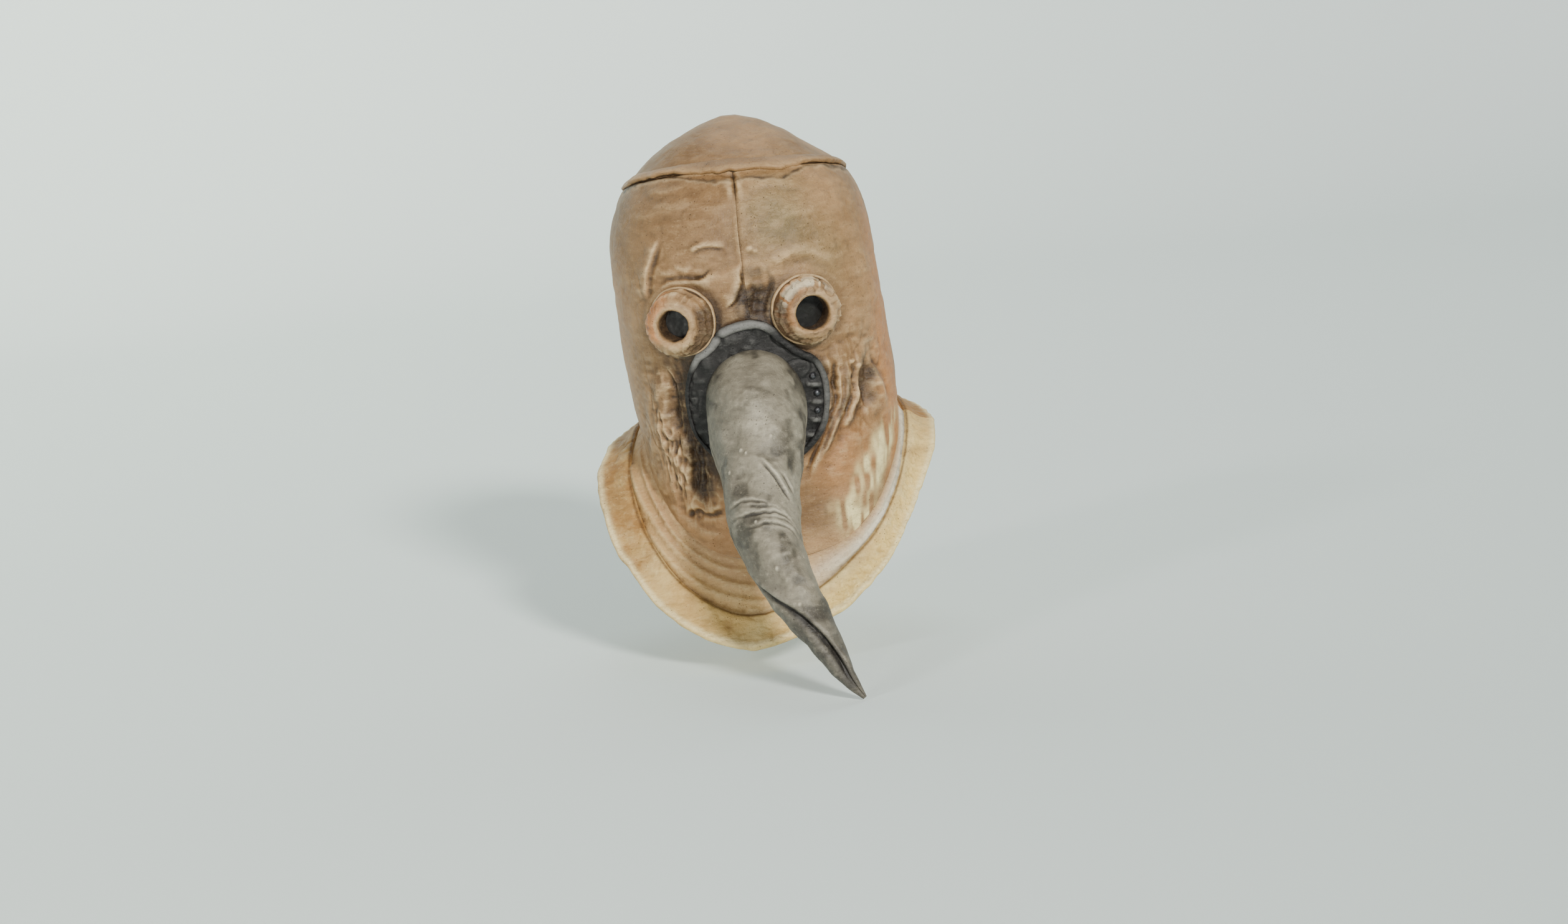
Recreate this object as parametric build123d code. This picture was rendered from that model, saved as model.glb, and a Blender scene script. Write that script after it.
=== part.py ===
from build123d import *
import math
import os
from bisect import bisect_right

# A leather hood mask with a long curved beak, goggle eyes and a flared collar.
# The origin is the centre of the head cavity. +Z is up, -Y is the way the wearer looks and
# +X is the wearer's left. All lengths are millimetres, and all angles are degrees.

LEATHER = 3.0  # hood wall
SEAM = 0.3  # space between two panels that are sewn edge to edge
TAPE = 1.0  # seam tape behind a seam
CLOTH = 0.8  # lining
TAPE_OUT = -3.2  # outer face of the seam tapes, from the hood's outer face
LINING_OUT = -4.5
PAD_OUT = -5.6
FAR = 500.0  # larger than the mask

# Hood, from neck to apex: height, shift to the left, half width, depth in front, depth behind
HOOD_ROWS = (
    (-205.0, 8.0, 93.0, 95.5, 88.0),
    (-150.0, 10.0, 95.5, 98.5, 91.0),
    (-107.0, 10.5, 97.5, 101.5, 95.0),
    (-72.0, 8.9, 100.5, 105.0, 103.0),
    (-31.0, 5.7, 101.2, 107.5, 114.0),
    (10.0, 3.4, 100.7, 107.5, 118.0),
    (50.0, 2.0, 97.5, 104.5, 115.0),
    (75.0, 2.5, 90.6, 98.0, 107.5),
    (89.0, 2.8, 82.0, 89.5, 98.0),
    (102.0, 1.8, 68.3, 75.5, 83.0),
    (117.0, 1.0, 46.5, 52.0, 58.0),
    (127.0, 1.8, 25.5, 28.5, 32.0),
    (133.0, 2.5, 6.0, 7.0, 8.0),
)
FRONT_POWER = 2.5  # how square the plan is in front
BACK_POWER = 2.1
PLAN_POINTS = 24

CROWN_ORIGIN = (0.0, -88.0, 103.3)  # the crown seam is flat, and falls towards the back
CROWN_SLOPE = 0.176
CROWN_BAND = 7.0  # height of the folded edge
CROWN_BAND_THICK = 1.7
SIDE_SEAM_Y = 10.0

# Neck seam, seen from the side: forward place and height
NECK_LINE = ((-135.0, -232.0), (-95.0, -190.0), (-50.0, -138.0), (0.0, -103.0), (60.0, -82.0), (135.0, -66.0))
NECK_TAPE = 10.0

EYE_X = (45.2, -45.8)  # left, right
EYE_Z = -6.0
EYE_SPLAY = 13.0
FLANGE_R = 25.8
SLEEVE_R = 20.0  # the cup's sleeve goes through the hood
SLEEVE_BORE = 18.2
CUP_MOUTH_R = 12.8
CUP_TALL = 20.5
CUP_SHOULDER = 3.0  # the lens is held against this
SLEEVE_DEEP = 9.0
LENS_R = 17.9
LENS_THICK = 2.5
GASKET_THICK = 0.8
KEEPER_THICK = 3.0
KEEPER_BORE = 15.0

# Beak stations: centre x, y, z, half width, half height, pitch below level
BEAK_ROWS = (
    (2.0, -100.0, -70.0, 37.0, 42.0, 0.0),
    (2.0, -114.0, -75.0, 36.8, 41.0, 12.0),
    (1.5, -130.0, -88.0, 35.0, 38.0, 27.0),
    (0.5, -149.0, -109.0, 32.0, 33.5, 38.0),
    (0.0, -168.0, -133.0, 28.4, 28.4, 43.0),
    (4.5, -197.0, -166.0, 23.0, 23.0, 51.0),
    (20.0, -219.0, -201.0, 16.6, 16.6, 61.0),
    (40.0, -233.0, -238.0, 9.8, 9.8, 74.0),
    (49.0, -238.0, -256.0, 6.0, 6.0, 79.0),
    (57.5, -240.5, -268.0, 1.6, 1.6, 82.0),
)
BEAK_WALL = 3.0
BEAK_STATIONS = 25
# How far the mouth line has turned over the top: share of the beak's length, degrees
MOUTH_ROWS = ((0.0, 0.0), (0.52, 0.0), (0.59, 6.0), (0.66, 36.0), (0.74, 72.0), (0.85, 102.0), (1.0, 116.0))
BEAK_SEAT = 4.6  # the root stands on the plate
NOSE_CENTRE = (2.0, -72.0)  # x, z
NOSE_HOLE = (29.0, 33.0)

# Plate round the beak: outline x, z, from the top round by the left
PLATE_LINE = (
    (0.0, -9.0),
    (17.0, -13.0),
    (34.0, -32.0),
    (49.5, -44.0),
    (55.0, -66.0),
    (48.5, -96.0),
    (24.0, -117.0),
    (-20.0, -117.0),
    (-42.0, -96.0),
    (-48.0, -66.0),
    (-42.0, -40.0),
    (-24.0, -17.0),
)
PLATE_MIDDLE = (5.0, -64.0)
PLATE_IN = 0.3
PLATE_OUT = 4.3
BEAD_WIDE = 4.5
BEAD_OUT = 7.2
RIVET_X_Z = ((44.5, -55.0), (46.5, -68.0), (45.5, -81.0))
RIVET_R = 1.3
RIVET_HEAD_R = 2.6
RIVET_HEAD_TALL = 1.6
BURR_R = 3.6

SCREEN_AT = 0.17  # share of the beak's length
SCREEN_R = 30.5
SCREEN_HOLE_R = 2.0
SCREEN_PITCH = 7.5
SACHET_FROM = 0.22
SACHET_TO = 0.50
SACHET_GAP = 2.5

RING_PAD_Z = (38.0, 66.0)
HEAD_HALF = (79.0, 99.0)  # the head that the ring holds, half width and half depth

# Collar rim seen from above: angle, distance from the collar's axis, height
COLLAR_AXIS_X = 9.0
RIM_ROWS = (
    (0.0, 126.0, -125.0),
    (-24.0, 114.0, -169.0),
    (-55.0, 116.0, -214.0),
    (-81.0, 123.0, -240.0),
    (-106.0, 133.0, -248.5),
    (-129.0, 136.0, -226.0),
    (-148.0, 138.0, -188.0),
    (-166.0, 137.0, -148.0),
    (-182.0, 131.0, -126.0),
    (-205.0, 125.0, -112.0),
    (-235.0, 120.0, -102.0),
    (-270.0, 118.0, -96.0),
    (-305.0, 120.0, -102.0),
    (-335.0, 126.0, -112.0),
)
HEM_WIDE = 25.0
HEM_SHARE_MAX = 0.62  # on the short back of the collar the band takes at most this much of it
COLLAR_STEP = 11.0
COLLAR_BACK_GAP = 2.0  # half the slit

SLIT_TOP = 46.0
SLIT_HALF = 2.0
GUSSET_HALF = 11.0
TOGGLE_Z = (15.0, -35.0)  # upper, lower
POST_X = 18.0
POST_R = 2.0
RUNNING = 0.06
TAB_IN = 0.3
TAB_OUT = 2.8
TAB_X = (-36.0, 37.0)
TAB_TALL = 20.0
TAB_SLOT = (27.0, 8.0)
TAB_RIVET_X = -27.0
TAB_RIVET_SPREAD = 5.5
TOGGLE_LONG = 26.0
TOGGLE_WIDE = 7.0
TOGGLE_FROM = 3.3
TOGGLE_THICK = 4.0
POST_HEAD_R = 3.6
POST_HEAD_TALL = 1.4
POST_PLAY = 0.3
BASE_DISC = (-4.1, -3.3)  # depths of the washer that ends a post or rivet inside the wall


def distances(rows):
    """How far along the line of rows each row stands."""
    out = [0.0]
    for a, b in zip(rows, rows[1:]):
        out.append(out[-1] + math.dist(a, b))
    return out


def glide(rows, marks, place):
    """The row at a place on a smooth line through the rows."""
    i = min(max(bisect_right(marks, place) - 1, 0), len(marks) - 2)
    gap = marks[i + 1] - marks[i]
    u = (place - marks[i]) / gap
    last = len(rows) - 1
    out = []
    for column in range(len(rows[0])):

        def slope(j):
            lo, hi = max(j - 1, 0), min(j + 1, last)
            return (rows[hi][column] - rows[lo][column]) / (marks[hi] - marks[lo])

        p, q = rows[i][column], rows[i + 1][column]
        m, n = slope(i) * gap, slope(i + 1) * gap
        out.append(
            p * (2 * u**3 - 3 * u**2 + 1)
            + m * (u**3 - 2 * u**2 + u)
            + q * (3 * u**2 - 2 * u**3)
            + n * (u**3 - u**2)
        )
    return out


HOOD_MARKS = distances(HOOD_ROWS)
BEAK_MARKS = distances([row[:3] for row in BEAK_ROWS])


def solve(function, low, high):
    """Where a rising function is nought."""
    for _ in range(48):
        middle = (low + high) / 2
        if function(middle) > 0:
            high = middle
        else:
            low = middle
    return (low + high) / 2


def hood_row(z):
    """The hood's row at a height."""
    mark = solve(lambda m: glide(HOOD_ROWS, HOOD_MARKS, m)[0] - z, 0.0, HOOD_MARKS[-1])
    return glide(HOOD_ROWS, HOOD_MARKS, mark)


def power_round(value, power):
    return math.copysign(abs(value) ** (2 / power), value)


def plan_point(row, angle):
    """A point of the hood's plan at an angle of its formula."""
    z, shift, half, front, back = row
    c, s = math.cos(angle), math.sin(angle)
    power, depth = (FRONT_POWER, front) if s < 0 else (BACK_POWER, back)
    return (shift + half * power_round(c, power), depth * power_round(s, power), z)


def plan_value(x, y, z):
    """Over nought outside the hood, under nought inside it."""
    _, shift, half, front, back = hood_row(z)
    power, depth = (FRONT_POWER, front) if y < 0 else (BACK_POWER, back)
    return (abs(x - shift) / half) ** power + (abs(y) / depth) ** power - 1


def grown_row(mark, grow):
    """A hood row moved outwards along the wall's slope."""
    before = glide(HOOD_ROWS, HOOD_MARKS, max(mark - 0.5, 0.0))
    after = glide(HOOD_ROWS, HOOD_MARKS, min(mark + 0.5, HOOD_MARKS[-1]))
    rise, spread = after[0] - before[0], after[2] - before[2]
    length = math.hypot(rise, spread)
    out, up = rise / length, -spread / length
    z, shift, half, front, back = glide(HOOD_ROWS, HOOD_MARKS, mark)
    return (z + grow * up, shift, half + grow * out, front + grow * out, back + grow * out)


def hood_body(grow):
    """The whole hood as a solid, larger than its outer face by grow."""
    wires = []
    for place in HOOD_MARKS:
        row = grown_row(place, grow)
        points = [plan_point(row, 2 * math.pi * i / PLAN_POINTS) for i in range(PLAN_POINTS)]
        wires.append(Wire([Edge.make_spline([Vector(*p) for p in points], periodic=True)]))
    return Solid.make_loft(wires)


BODIES = {}


def body(grow):
    if grow not in BODIES:
        BODIES[grow] = hood_body(grow)
    return BODIES[grow]


def layer(outside, inside):
    return body(outside) - body(inside)


def space(x, y, z):
    """A box between two limits on each axis."""
    size = [hi - lo for lo, hi in (x, y, z)]
    middle = [(hi + lo) / 2 for lo, hi in (x, y, z)]
    return Pos(*middle) * Box(*size)


def above_crown(lift):
    """All that is over the crown seam's plane, lifted."""
    plane = Plane(origin=CROWN_ORIGIN, x_dir=(1, 0, 0), z_dir=(0, CROWN_SLOPE, 1))
    return plane.location * (Pos(0, 88, FAR / 2 + lift) * Box(FAR, FAR, FAR))


def below_neck(lift):
    """All that is under the neck seam, lifted."""
    top = [Vector(0, y, z + lift) for y, z in NECK_LINE]
    edge = Edge.make_spline(top)
    ends = [top[-1], Vector(0, top[-1].Y, -FAR), Vector(0, top[0].Y, -FAR), top[0]]
    face = Face(Wire([edge] + [Edge.make_line(a, b) for a, b in zip(ends, ends[1:])]))
    return Pos(-FAR / 2, 0, 0) * extrude(face, FAR, dir=(1, 0, 0))


def front_y(x, z):
    """The hood's front face at a place seen from the front."""
    _, shift, half, front, _ = hood_row(z)
    return -front * (1 - (abs(x - shift) / half) ** FRONT_POWER) ** (1 / FRONT_POWER)


def back_y(x, z):
    _, shift, half, _, back = hood_row(z)
    return back * (1 - (abs(x - shift) / half) ** BACK_POWER) ** (1 / BACK_POWER)


def surface_frame(face_y, x, z, outward):
    """A frame on the hood's face: its x runs level and its z points straight out."""
    d = 0.5
    across = Vector(2 * d, face_y(x + d, z) - face_y(x - d, z), 0)
    rising = Vector(0, face_y(x, z + d) - face_y(x, z - d), 2 * d)
    normal = across.cross(rising)
    if normal.Y * outward < 0:
        normal = -normal
    return Plane(origin=(x, face_y(x, z), z), x_dir=across, z_dir=normal).location


def rod(radius, low, high):
    return Pos(0, 0, (low + high) / 2) * Cylinder(radius, high - low)


def turned(points, bend=None):
    """A solid of revolution about Z from an outline of radius and height. Bend smooths a run of its points."""
    at = [Vector(r, 0, h) for r, h in points]
    edges = []
    i = 0
    while i < len(at):
        if bend and i == bend[0]:
            edges.append(Edge.make_spline(at[bend[0] : bend[1] + 1]))
            i = bend[1]
        else:
            edges.append(Edge.make_line(at[i], at[(i + 1) % len(at)]))
            i += 1
    return revolve(Face(Wire(edges)), Axis.Z)


def eye_frame(side):
    """Frame of an eye cup, on the hood's face, with z along the cup."""
    x = EYE_X[side]
    lean = math.radians(EYE_SPLAY) * (1, -1)[side]
    z_dir = (math.sin(lean), -math.cos(lean), 0)
    return Plane(origin=(x, front_y(x, EYE_Z), EYE_Z), x_dir=(math.cos(lean), math.sin(lean), 0), z_dir=z_dir).location


def eye_bore(side, radius):
    return eye_frame(side) * rod(radius, -40, 40)


def both_eye_bores(radius):
    return eye_bore(0, radius) + eye_bore(1, radius)


def nose_hole(grow):
    """The way from the face into the beak."""
    hole = Plane.XZ * Ellipse(NOSE_HOLE[0] + grow, NOSE_HOLE[1] + grow)
    return Pos(NOSE_CENTRE[0], -60, NOSE_CENTRE[1]) * extrude(hole, 90)


def post_frame(z):
    return surface_frame(back_y, POST_X, z, 1)


def tab_rivet_frames():
    return [
        surface_frame(back_y, TAB_RIVET_X, z + step, 1)
        for z in TOGGLE_Z
        for step in (-TAB_RIVET_SPREAD, TAB_RIVET_SPREAD)
    ]


def back_holes():
    """Holes for the posts and the tabs' rivets."""
    holes = [post_frame(z) * rod(POST_R + 0.1, -15, 15) for z in TOGGLE_Z]
    holes += [frame * rod(RIVET_R + 0.1, -15, 15) for frame in tab_rivet_frames()]
    return holes


def cut(solid, tools):
    for tool in tools:
        solid = solid - tool
    return solid


def hood_panels():
    """Crown, two front panels and two back panels."""
    wall = layer(0.0, -LEATHER)
    lower = wall - above_crown(-SEAM / 2) - below_neck(SEAM / 2)
    lower = cut(lower, [both_eye_bores(SLEEVE_R + 0.3), nose_hole(0.0)])
    slit = space((-SLIT_HALF, SLIT_HALF), (0, FAR), (-FAR, SLIT_TOP))
    lower = cut(lower, [slit] + back_holes() + rivet_holes())
    edge = SEAM / 2
    left, right = (edge, FAR), (-FAR, -edge)
    front, back = (-FAR, SIDE_SEAM_Y - edge), (SIDE_SEAM_Y + edge, FAR)
    tall = (-FAR, FAR)
    return {
        "crown_panel": wall & above_crown(SEAM / 2),
        "front_panel_left": lower & space(left, front, tall),
        "front_panel_right": lower & space(right, front, tall),
        "back_panel_left": lower & space(left, back, tall),
        "back_panel_right": lower & space(right, back, tall),
    }


def crown_edge_band():
    """Folded lower edge of the crown panel, doubled on its outside."""
    ring = layer(CROWN_BAND_THICK, 0.1)
    return (ring & above_crown(SEAM / 2)) - above_crown(CROWN_BAND)


def seam_tapes():
    """Tapes behind the seams, all in one layer, which stop short of each other."""
    strip = layer(TAPE_OUT, TAPE_OUT - TAPE)
    crown = (strip & above_crown(-7)) - above_crown(7)
    neck = (strip - below_neck(1.0)) & below_neck(1.0 + NECK_TAPE)
    neck = neck - space((-GUSSET_HALF - 1, GUSSET_HALF + 1), (0, FAR), (-FAR, FAR))
    between = strip - above_crown(-7.5) - below_neck(NECK_TAPE + 1.5)
    brow = between & space((-6, 6), (-FAR, 0), (-34, FAR))
    sides = between & space((-FAR, FAR), (SIDE_SEAM_Y - 6, SIDE_SEAM_Y + 6), (-FAR, FAR))
    return {
        "crown_seam_tape": crown,
        "neck_seam_tape": neck,
        "forehead_seam_tape": brow,
        "side_seam_tape_left": sides & space((0, FAR), (-FAR, FAR), (-FAR, FAR)),
        "side_seam_tape_right": sides & space((-FAR, 0), (-FAR, FAR), (-FAR, FAR)),
    }


def hood_lining():
    cloth = layer(LINING_OUT, LINING_OUT - CLOTH) - below_neck(2.0)
    slit = space((-SLIT_HALF, SLIT_HALF), (0, FAR), (-FAR, SLIT_TOP + 4))
    return cut(cloth, [both_eye_bores(SLEEVE_R + 0.4), nose_hole(1.0), slit])


def back_gusset():
    """Soft leather behind the slit."""
    strip = layer(TAPE_OUT, TAPE_OUT - TAPE) - below_neck(1.0)
    return strip & space((-GUSSET_HALF, GUSSET_HALF), (0, FAR), (-FAR, SLIT_TOP + 10))


def head_ring_pad():
    """Padded ring that carries the hood on the head."""
    low, high = RING_PAD_Z
    ring = body(PAD_OUT) & space((-FAR, FAR), (-FAR, FAR), RING_PAD_Z)
    head = Pos(2, 4, low - 1) * extrude(Ellipse(*HEAD_HALF), high - low + 2)
    return ring - head


def nose_pad():
    """Pad over the bridge of the nose."""
    block = Pos(2, -60, -27) * extrude(Plane.XZ * RectangleRounded(40, 13, 6), 60)
    return layer(PAD_OUT, PAD_OUT - 8) & block


def eye_flange(side):
    ring = layer(3.3, 0.3) & eye_bore(side, FLANGE_R)
    return ring - eye_bore(side, SLEEVE_R + 0.3)


def eye_cup(side):
    """Swollen cup with a rolled lip, and the sleeve that goes through the hood."""
    outline = (
        (SLEEVE_BORE, CUP_SHOULDER),
        (SLEEVE_BORE, -SLEEVE_DEEP),
        (24.8, -SLEEVE_DEEP),
        (24.8, 1.0),
        (23.8, 6.0),
        (20.8, 11.5),
        (18.7, 15.5),
        (18.0, 18.2),
        (15.5, CUP_TALL),
        (13.3, 18.4),
        (CUP_MOUTH_R, 15.0),
        (CUP_MOUTH_R, CUP_SHOULDER),
    )
    cup = eye_frame(side) * turned(outline, bend=(3, 10))
    return cup - (body(3.6) - eye_bore(side, SLEEVE_R))


def ring(outer, inner, low, high):
    return rod(outer, low, high) - rod(inner, low - 1, high + 1)


def lens_stack(side):
    """Gasket, lens and keeper ring behind the cup's shoulder."""
    frame = eye_frame(side)
    top = CUP_SHOULDER
    glass_top = top - GASKET_THICK
    glass_low = glass_top - LENS_THICK
    return {
        "lens_gasket": frame * ring(LENS_R, CUP_MOUTH_R + 0.6, glass_top, top),
        "lens": frame * rod(LENS_R, glass_low, glass_top),
        "lens_keeper": frame * ring(SLEEVE_BORE - 0.05, KEEPER_BORE, glass_low - KEEPER_THICK, glass_low),
    }


def plate_prism(shrink):
    """The plate's outline as a block, with its points drawn in towards the middle."""
    points = []
    for x, z in PLATE_LINE:
        reach = math.hypot(x - PLATE_MIDDLE[0], z - PLATE_MIDDLE[1])
        keep = 1 - shrink / reach
        x = PLATE_MIDDLE[0] + (x - PLATE_MIDDLE[0]) * keep
        z = PLATE_MIDDLE[1] + (z - PLATE_MIDDLE[1]) * keep
        points.append(Vector(x, -50, z))
    face = Face(Wire([Edge.make_spline(points, periodic=True)]))
    return extrude(face, 130, dir=(0, -1, 0))


def beak_plate():
    plate = layer(PLATE_OUT, PLATE_IN) & plate_prism(0)
    return cut(plate, [nose_hole(0.0), both_eye_bores(FLANGE_R + 0.4)] + rivet_holes())


def plate_bead():
    """Rolled bead on the plate's rim."""
    strip = (layer(BEAD_OUT, PLATE_OUT + 0.1) & plate_prism(0)) - plate_prism(BEAD_WIDE)
    return strip - both_eye_bores(FLANGE_R + 0.4)


def rivet_frames():
    return [surface_frame(front_y, x, z, -1) for x, z in RIVET_X_Z]


def rivet_holes():
    return [frame * rod(RIVET_R + 0.1, -12, 12) for frame in rivet_frames()]


def dome(radius, low, tall):
    """A flat-bottomed dome on a rivet."""
    ball = (radius**2 + tall**2) / (2 * tall)
    return Pos(0, 0, low + tall - ball) * Sphere(ball) & rod(radius, low, low + tall + 1)


def rivets(frames, seat):
    out = []
    for frame in frames:
        shank = rod(RIVET_R, BASE_DISC[0], seat + 0.5)
        out.append(frame * (shank + dome(RIVET_HEAD_R, seat, RIVET_HEAD_TALL)))
    return Compound(children=out)


def burrs(frames):
    disc = ring(BURR_R, RIVET_R + 0.02, *BASE_DISC)
    return Compound(children=[frame * disc for frame in frames])


def beak_section(share):
    """Centre, right, up, half width, half height at a share of the beak's length."""
    total = BEAK_MARKS[-1]
    place = share * total
    x, y, z, wide, tall, pitch = glide(BEAK_ROWS, BEAK_MARKS, place)
    behind = glide(BEAK_ROWS, BEAK_MARKS, max(place - 1, 0))
    ahead = glide(BEAK_ROWS, BEAK_MARKS, min(place + 1, total))
    sideways = (ahead[0] - behind[0]) / math.dist(ahead[:3], behind[:3])
    level = math.sqrt(1 - sideways**2)
    pitch = math.radians(pitch)
    along = Vector(sideways, -level * math.cos(pitch), -level * math.sin(pitch))
    up = Vector(0, -math.sin(pitch), math.cos(pitch))
    right = along.cross(up).normalized()
    return Vector(x, y, z), -right, up, wide, tall


def beak_arc(share, start, inset, reverse=False):
    centre, right, up, wide, tall = beak_section(share)
    count = 12
    gap = math.degrees(SEAM / 2 / max(wide - inset, 0.5))
    angles = [math.radians(start + gap + (180 - 2 * gap) * i / count) for i in range(count + 1)]
    points = [
        centre + right * ((wide - inset) * math.cos(a)) + up * ((tall - inset) * math.sin(a)) for a in angles
    ]
    return points[::-1] if reverse else points


def beak_half(start):
    """One half of the beak's wall. Start is the angle of its first edge at the root."""
    wires = []
    for i in range(BEAK_STATIONS):
        share = i / (BEAK_STATIONS - 1)
        twist = glide(MOUTH_ROWS, [row[0] for row in MOUTH_ROWS], share)[1]
        wall = min(BEAK_WALL, 0.6 * beak_section(share)[3])
        outer = beak_arc(share, start - twist, 0.0)
        inner = beak_arc(share, start - twist, wall, reverse=True)
        edges = [
            Edge.make_spline(outer),
            Edge.make_line(outer[-1], inner[0]),
            Edge.make_spline(inner),
            Edge.make_line(inner[-1], outer[0]),
        ]
        wires.append(Wire(edges))
    return Solid.make_loft(wires) - body(BEAK_SEAT)


def beak_frame(share):
    centre, right, up, _, _ = beak_section(share)
    return Plane(origin=centre, x_dir=right, z_dir=right.cross(up)).location


def nose_screen():
    """Disc of stiff leather with rows of holes, which keeps the herbs off the face."""
    disc = rod(SCREEN_R, -1, 1)
    rows = int(SCREEN_R // SCREEN_PITCH)
    for i in range(-rows, rows + 1):
        for j in range(-rows, rows + 1):
            x = (i + 0.5 * (j % 2)) * SCREEN_PITCH
            y = j * SCREEN_PITCH * math.sqrt(3) / 2
            if math.hypot(x, y) < SCREEN_R - 5:
                disc = disc - Pos(x, y, 0) * Cylinder(SCREEN_HOLE_R, 6)
    return beak_frame(SCREEN_AT) * disc


def herb_sachet():
    """Stuffed bag that lies in the beak."""
    wires = []
    steps = 9
    for i in range(steps):
        u = i / (steps - 1)
        share = SACHET_FROM + (SACHET_TO - SACHET_FROM) * u
        centre, right, up, wide, _ = beak_section(share)
        fill = max(0.25, (1 - abs(2 * u - 1) ** 3) ** 0.5)
        radius = (wide - BEAK_WALL - SACHET_GAP) * fill
        plane = Plane(origin=centre, x_dir=right, z_dir=right.cross(up))
        wires.append(Wire([Edge.make_circle(radius, plane)]))
    return Solid.make_loft(wires)


def rim_point(angle):
    """Distance and height of the collar's rim at an angle."""
    while angle > 0:
        angle -= 360
    while angle <= -360:
        angle += 360
    rows = [(r[0] + 360,) + r[1:] for r in RIM_ROWS[-3:]] + list(RIM_ROWS)
    rows += [(r[0] - 360,) + r[1:] for r in RIM_ROWS[:3]]
    marks = [-r[0] for r in rows]
    return glide(rows, marks, -angle)[1:]


def neck_height(y):
    marks = [row[0] for row in NECK_LINE]
    return glide(NECK_LINE, marks, y)[1]


def neck_point(angle):
    """Distance and height of the neck seam at an angle about the collar's axis."""
    c, s = math.cos(math.radians(angle)), math.sin(math.radians(angle))
    reach = solve(lambda r: plan_value(COLLAR_AXIS_X + r * c, r * s, neck_height(r * s)), 40, 140)
    return reach, neck_height(reach * s)


def collar_curve(angle, share):
    """Distance and height of the collar's upper face, from the neck at 0 to the rim at 1."""
    r0, z0 = neck_point(angle)
    r3, z3 = rim_point(angle)
    z0 -= SEAM
    chord = math.hypot(r3 - r0, z3 - z0)
    slope = math.atan2(z0 - z3, r3 - r0)
    end = slope * 0.72
    r1, z1 = r0 + 0.05 * chord, z0 - 0.33 * chord * math.sin(slope)
    r2, z2 = r3 - 0.36 * chord * math.cos(end), z3 + 0.36 * chord * math.sin(end)
    v = 1 - share
    mix = (v**3, 3 * v * v * share, 3 * v * share**2, share**3)
    return (
        sum(m * p for m, p in zip(mix, (r0, r1, r2, r3))),
        sum(m * p for m, p in zip(mix, (z0, z1, z2, z3))),
        chord,
    )


def collar_point(angle, share, lift):
    r, z, _ = collar_curve(angle, share)
    ra, za, _ = collar_curve(angle, max(share - 0.01, 0))
    rb, zb, _ = collar_curve(angle, min(share + 0.01, 1))
    length = math.hypot(rb - ra, zb - za)
    r += lift * (za - zb) / length
    z += lift * (rb - ra) / length
    a = math.radians(angle)
    return Vector(COLLAR_AXIS_X + r * math.cos(a), r * math.sin(a), z)


def hem_start(angle):
    """Share of the collar's width where the hem band starts."""
    chord = collar_curve(angle, 0)[2]
    return 1 - min(HEM_WIDE / chord, HEM_SHARE_MAX)


def swept(start, stop, section):
    """A loft of sections at even angles about the collar's axis."""
    steps = max(3, math.ceil(abs(stop - start) / COLLAR_STEP))
    wires = []
    for i in range(steps + 1):
        top, low = section(start + (stop - start) * i / steps)
        edges = [
            Edge.make_spline(top),
            Edge.make_line(top[-1], low[0]),
            Edge.make_spline(low),
            Edge.make_line(low[-1], top[0]),
        ]
        wires.append(Wire(edges))
    return Solid.make_loft(wires)


def collar_section(angle):
    end = hem_start(angle) - 0.004
    shares = [end * i / 5 for i in range(6)]
    top = [collar_point(angle, s, 0) for s in shares]
    low = [collar_point(angle, s, -LEATHER) for s in reversed(shares)]
    return top, low


def hem_section(angle):
    """The band: doubled leather that thickens to a raised outer edge."""
    start = hem_start(angle) + 0.004
    shares = [start + (1 - start) * i / 5 for i in range(6)]
    rises = (1.0, 1.0, 0.6, 0.8, 2.2, 3.2)
    top = [collar_point(angle, s, rise) for s, rise in zip(shares, rises)]
    low = [collar_point(angle, s, -LEATHER - 0.5) for s in reversed(shares)]
    return top, low


def collar_pieces():
    side = math.degrees(math.asin(SIDE_SEAM_Y / 100))
    edge = math.degrees(SEAM / 2 / 100)
    slit = math.degrees(COLLAR_BACK_GAP / 100)
    # The slit is at x = 0, which is not on the collar's axis.
    middle = -270 + math.degrees(math.asin(COLLAR_AXIS_X / 105))
    spans = {
        "front": (side - edge, -180 - side + edge),
        "back_right": (-180 - side - edge, middle + slit),
        "back_left": (middle - slit, side - 360 + edge),
    }
    out = {}
    for name, (start, stop) in spans.items():
        out[f"collar_{name}"] = swept(start, stop, collar_section)
        out[f"hem_{name}"] = swept(start, stop, hem_section)
    return out


def closure_tab(z):
    """Leather tab across the slit, with a long slot that the toggle passes."""
    middle = (TAB_X[0] + TAB_X[1]) / 2
    outline = RectangleRounded(TAB_X[1] - TAB_X[0], TAB_TALL, 7)
    strip = Pos(middle, 60, z) * extrude(Plane.XZ * outline, -90)
    slot = Pos(POST_X, 60, z) * extrude(Plane.XZ * SlotOverall(*TAB_SLOT), -90)
    tab = (layer(TAB_OUT, TAB_IN) & strip) - slot
    return cut(tab, [frame * rod(RIVET_R + 0.1, -15, 15) for frame in tab_rivet_frames()])


def toggle_post(z):
    """Stud through the back panel that the toggle turns on."""
    top = TOGGLE_FROM + TOGGLE_THICK + POST_PLAY
    stud = rod(POST_R, BASE_DISC[0], top + 0.5) + rod(BURR_R + 1.5, *BASE_DISC)
    return post_frame(z) * (stud + dome(POST_HEAD_R, top, POST_HEAD_TALL))


def toggle(z):
    """Horn bar, upright at rest, turned level to pass the slot."""
    bar = extrude(SlotOverall(TOGGLE_LONG, TOGGLE_WIDE, rotation=90), TOGGLE_THICK)
    bar = fillet(bar.edges().filter_by(Plane.XY), 1.2)
    bar = Pos(0, 0, TOGGLE_FROM) * bar
    return post_frame(z) * (bar - rod(POST_R + RUNNING, 0, 20))


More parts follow.
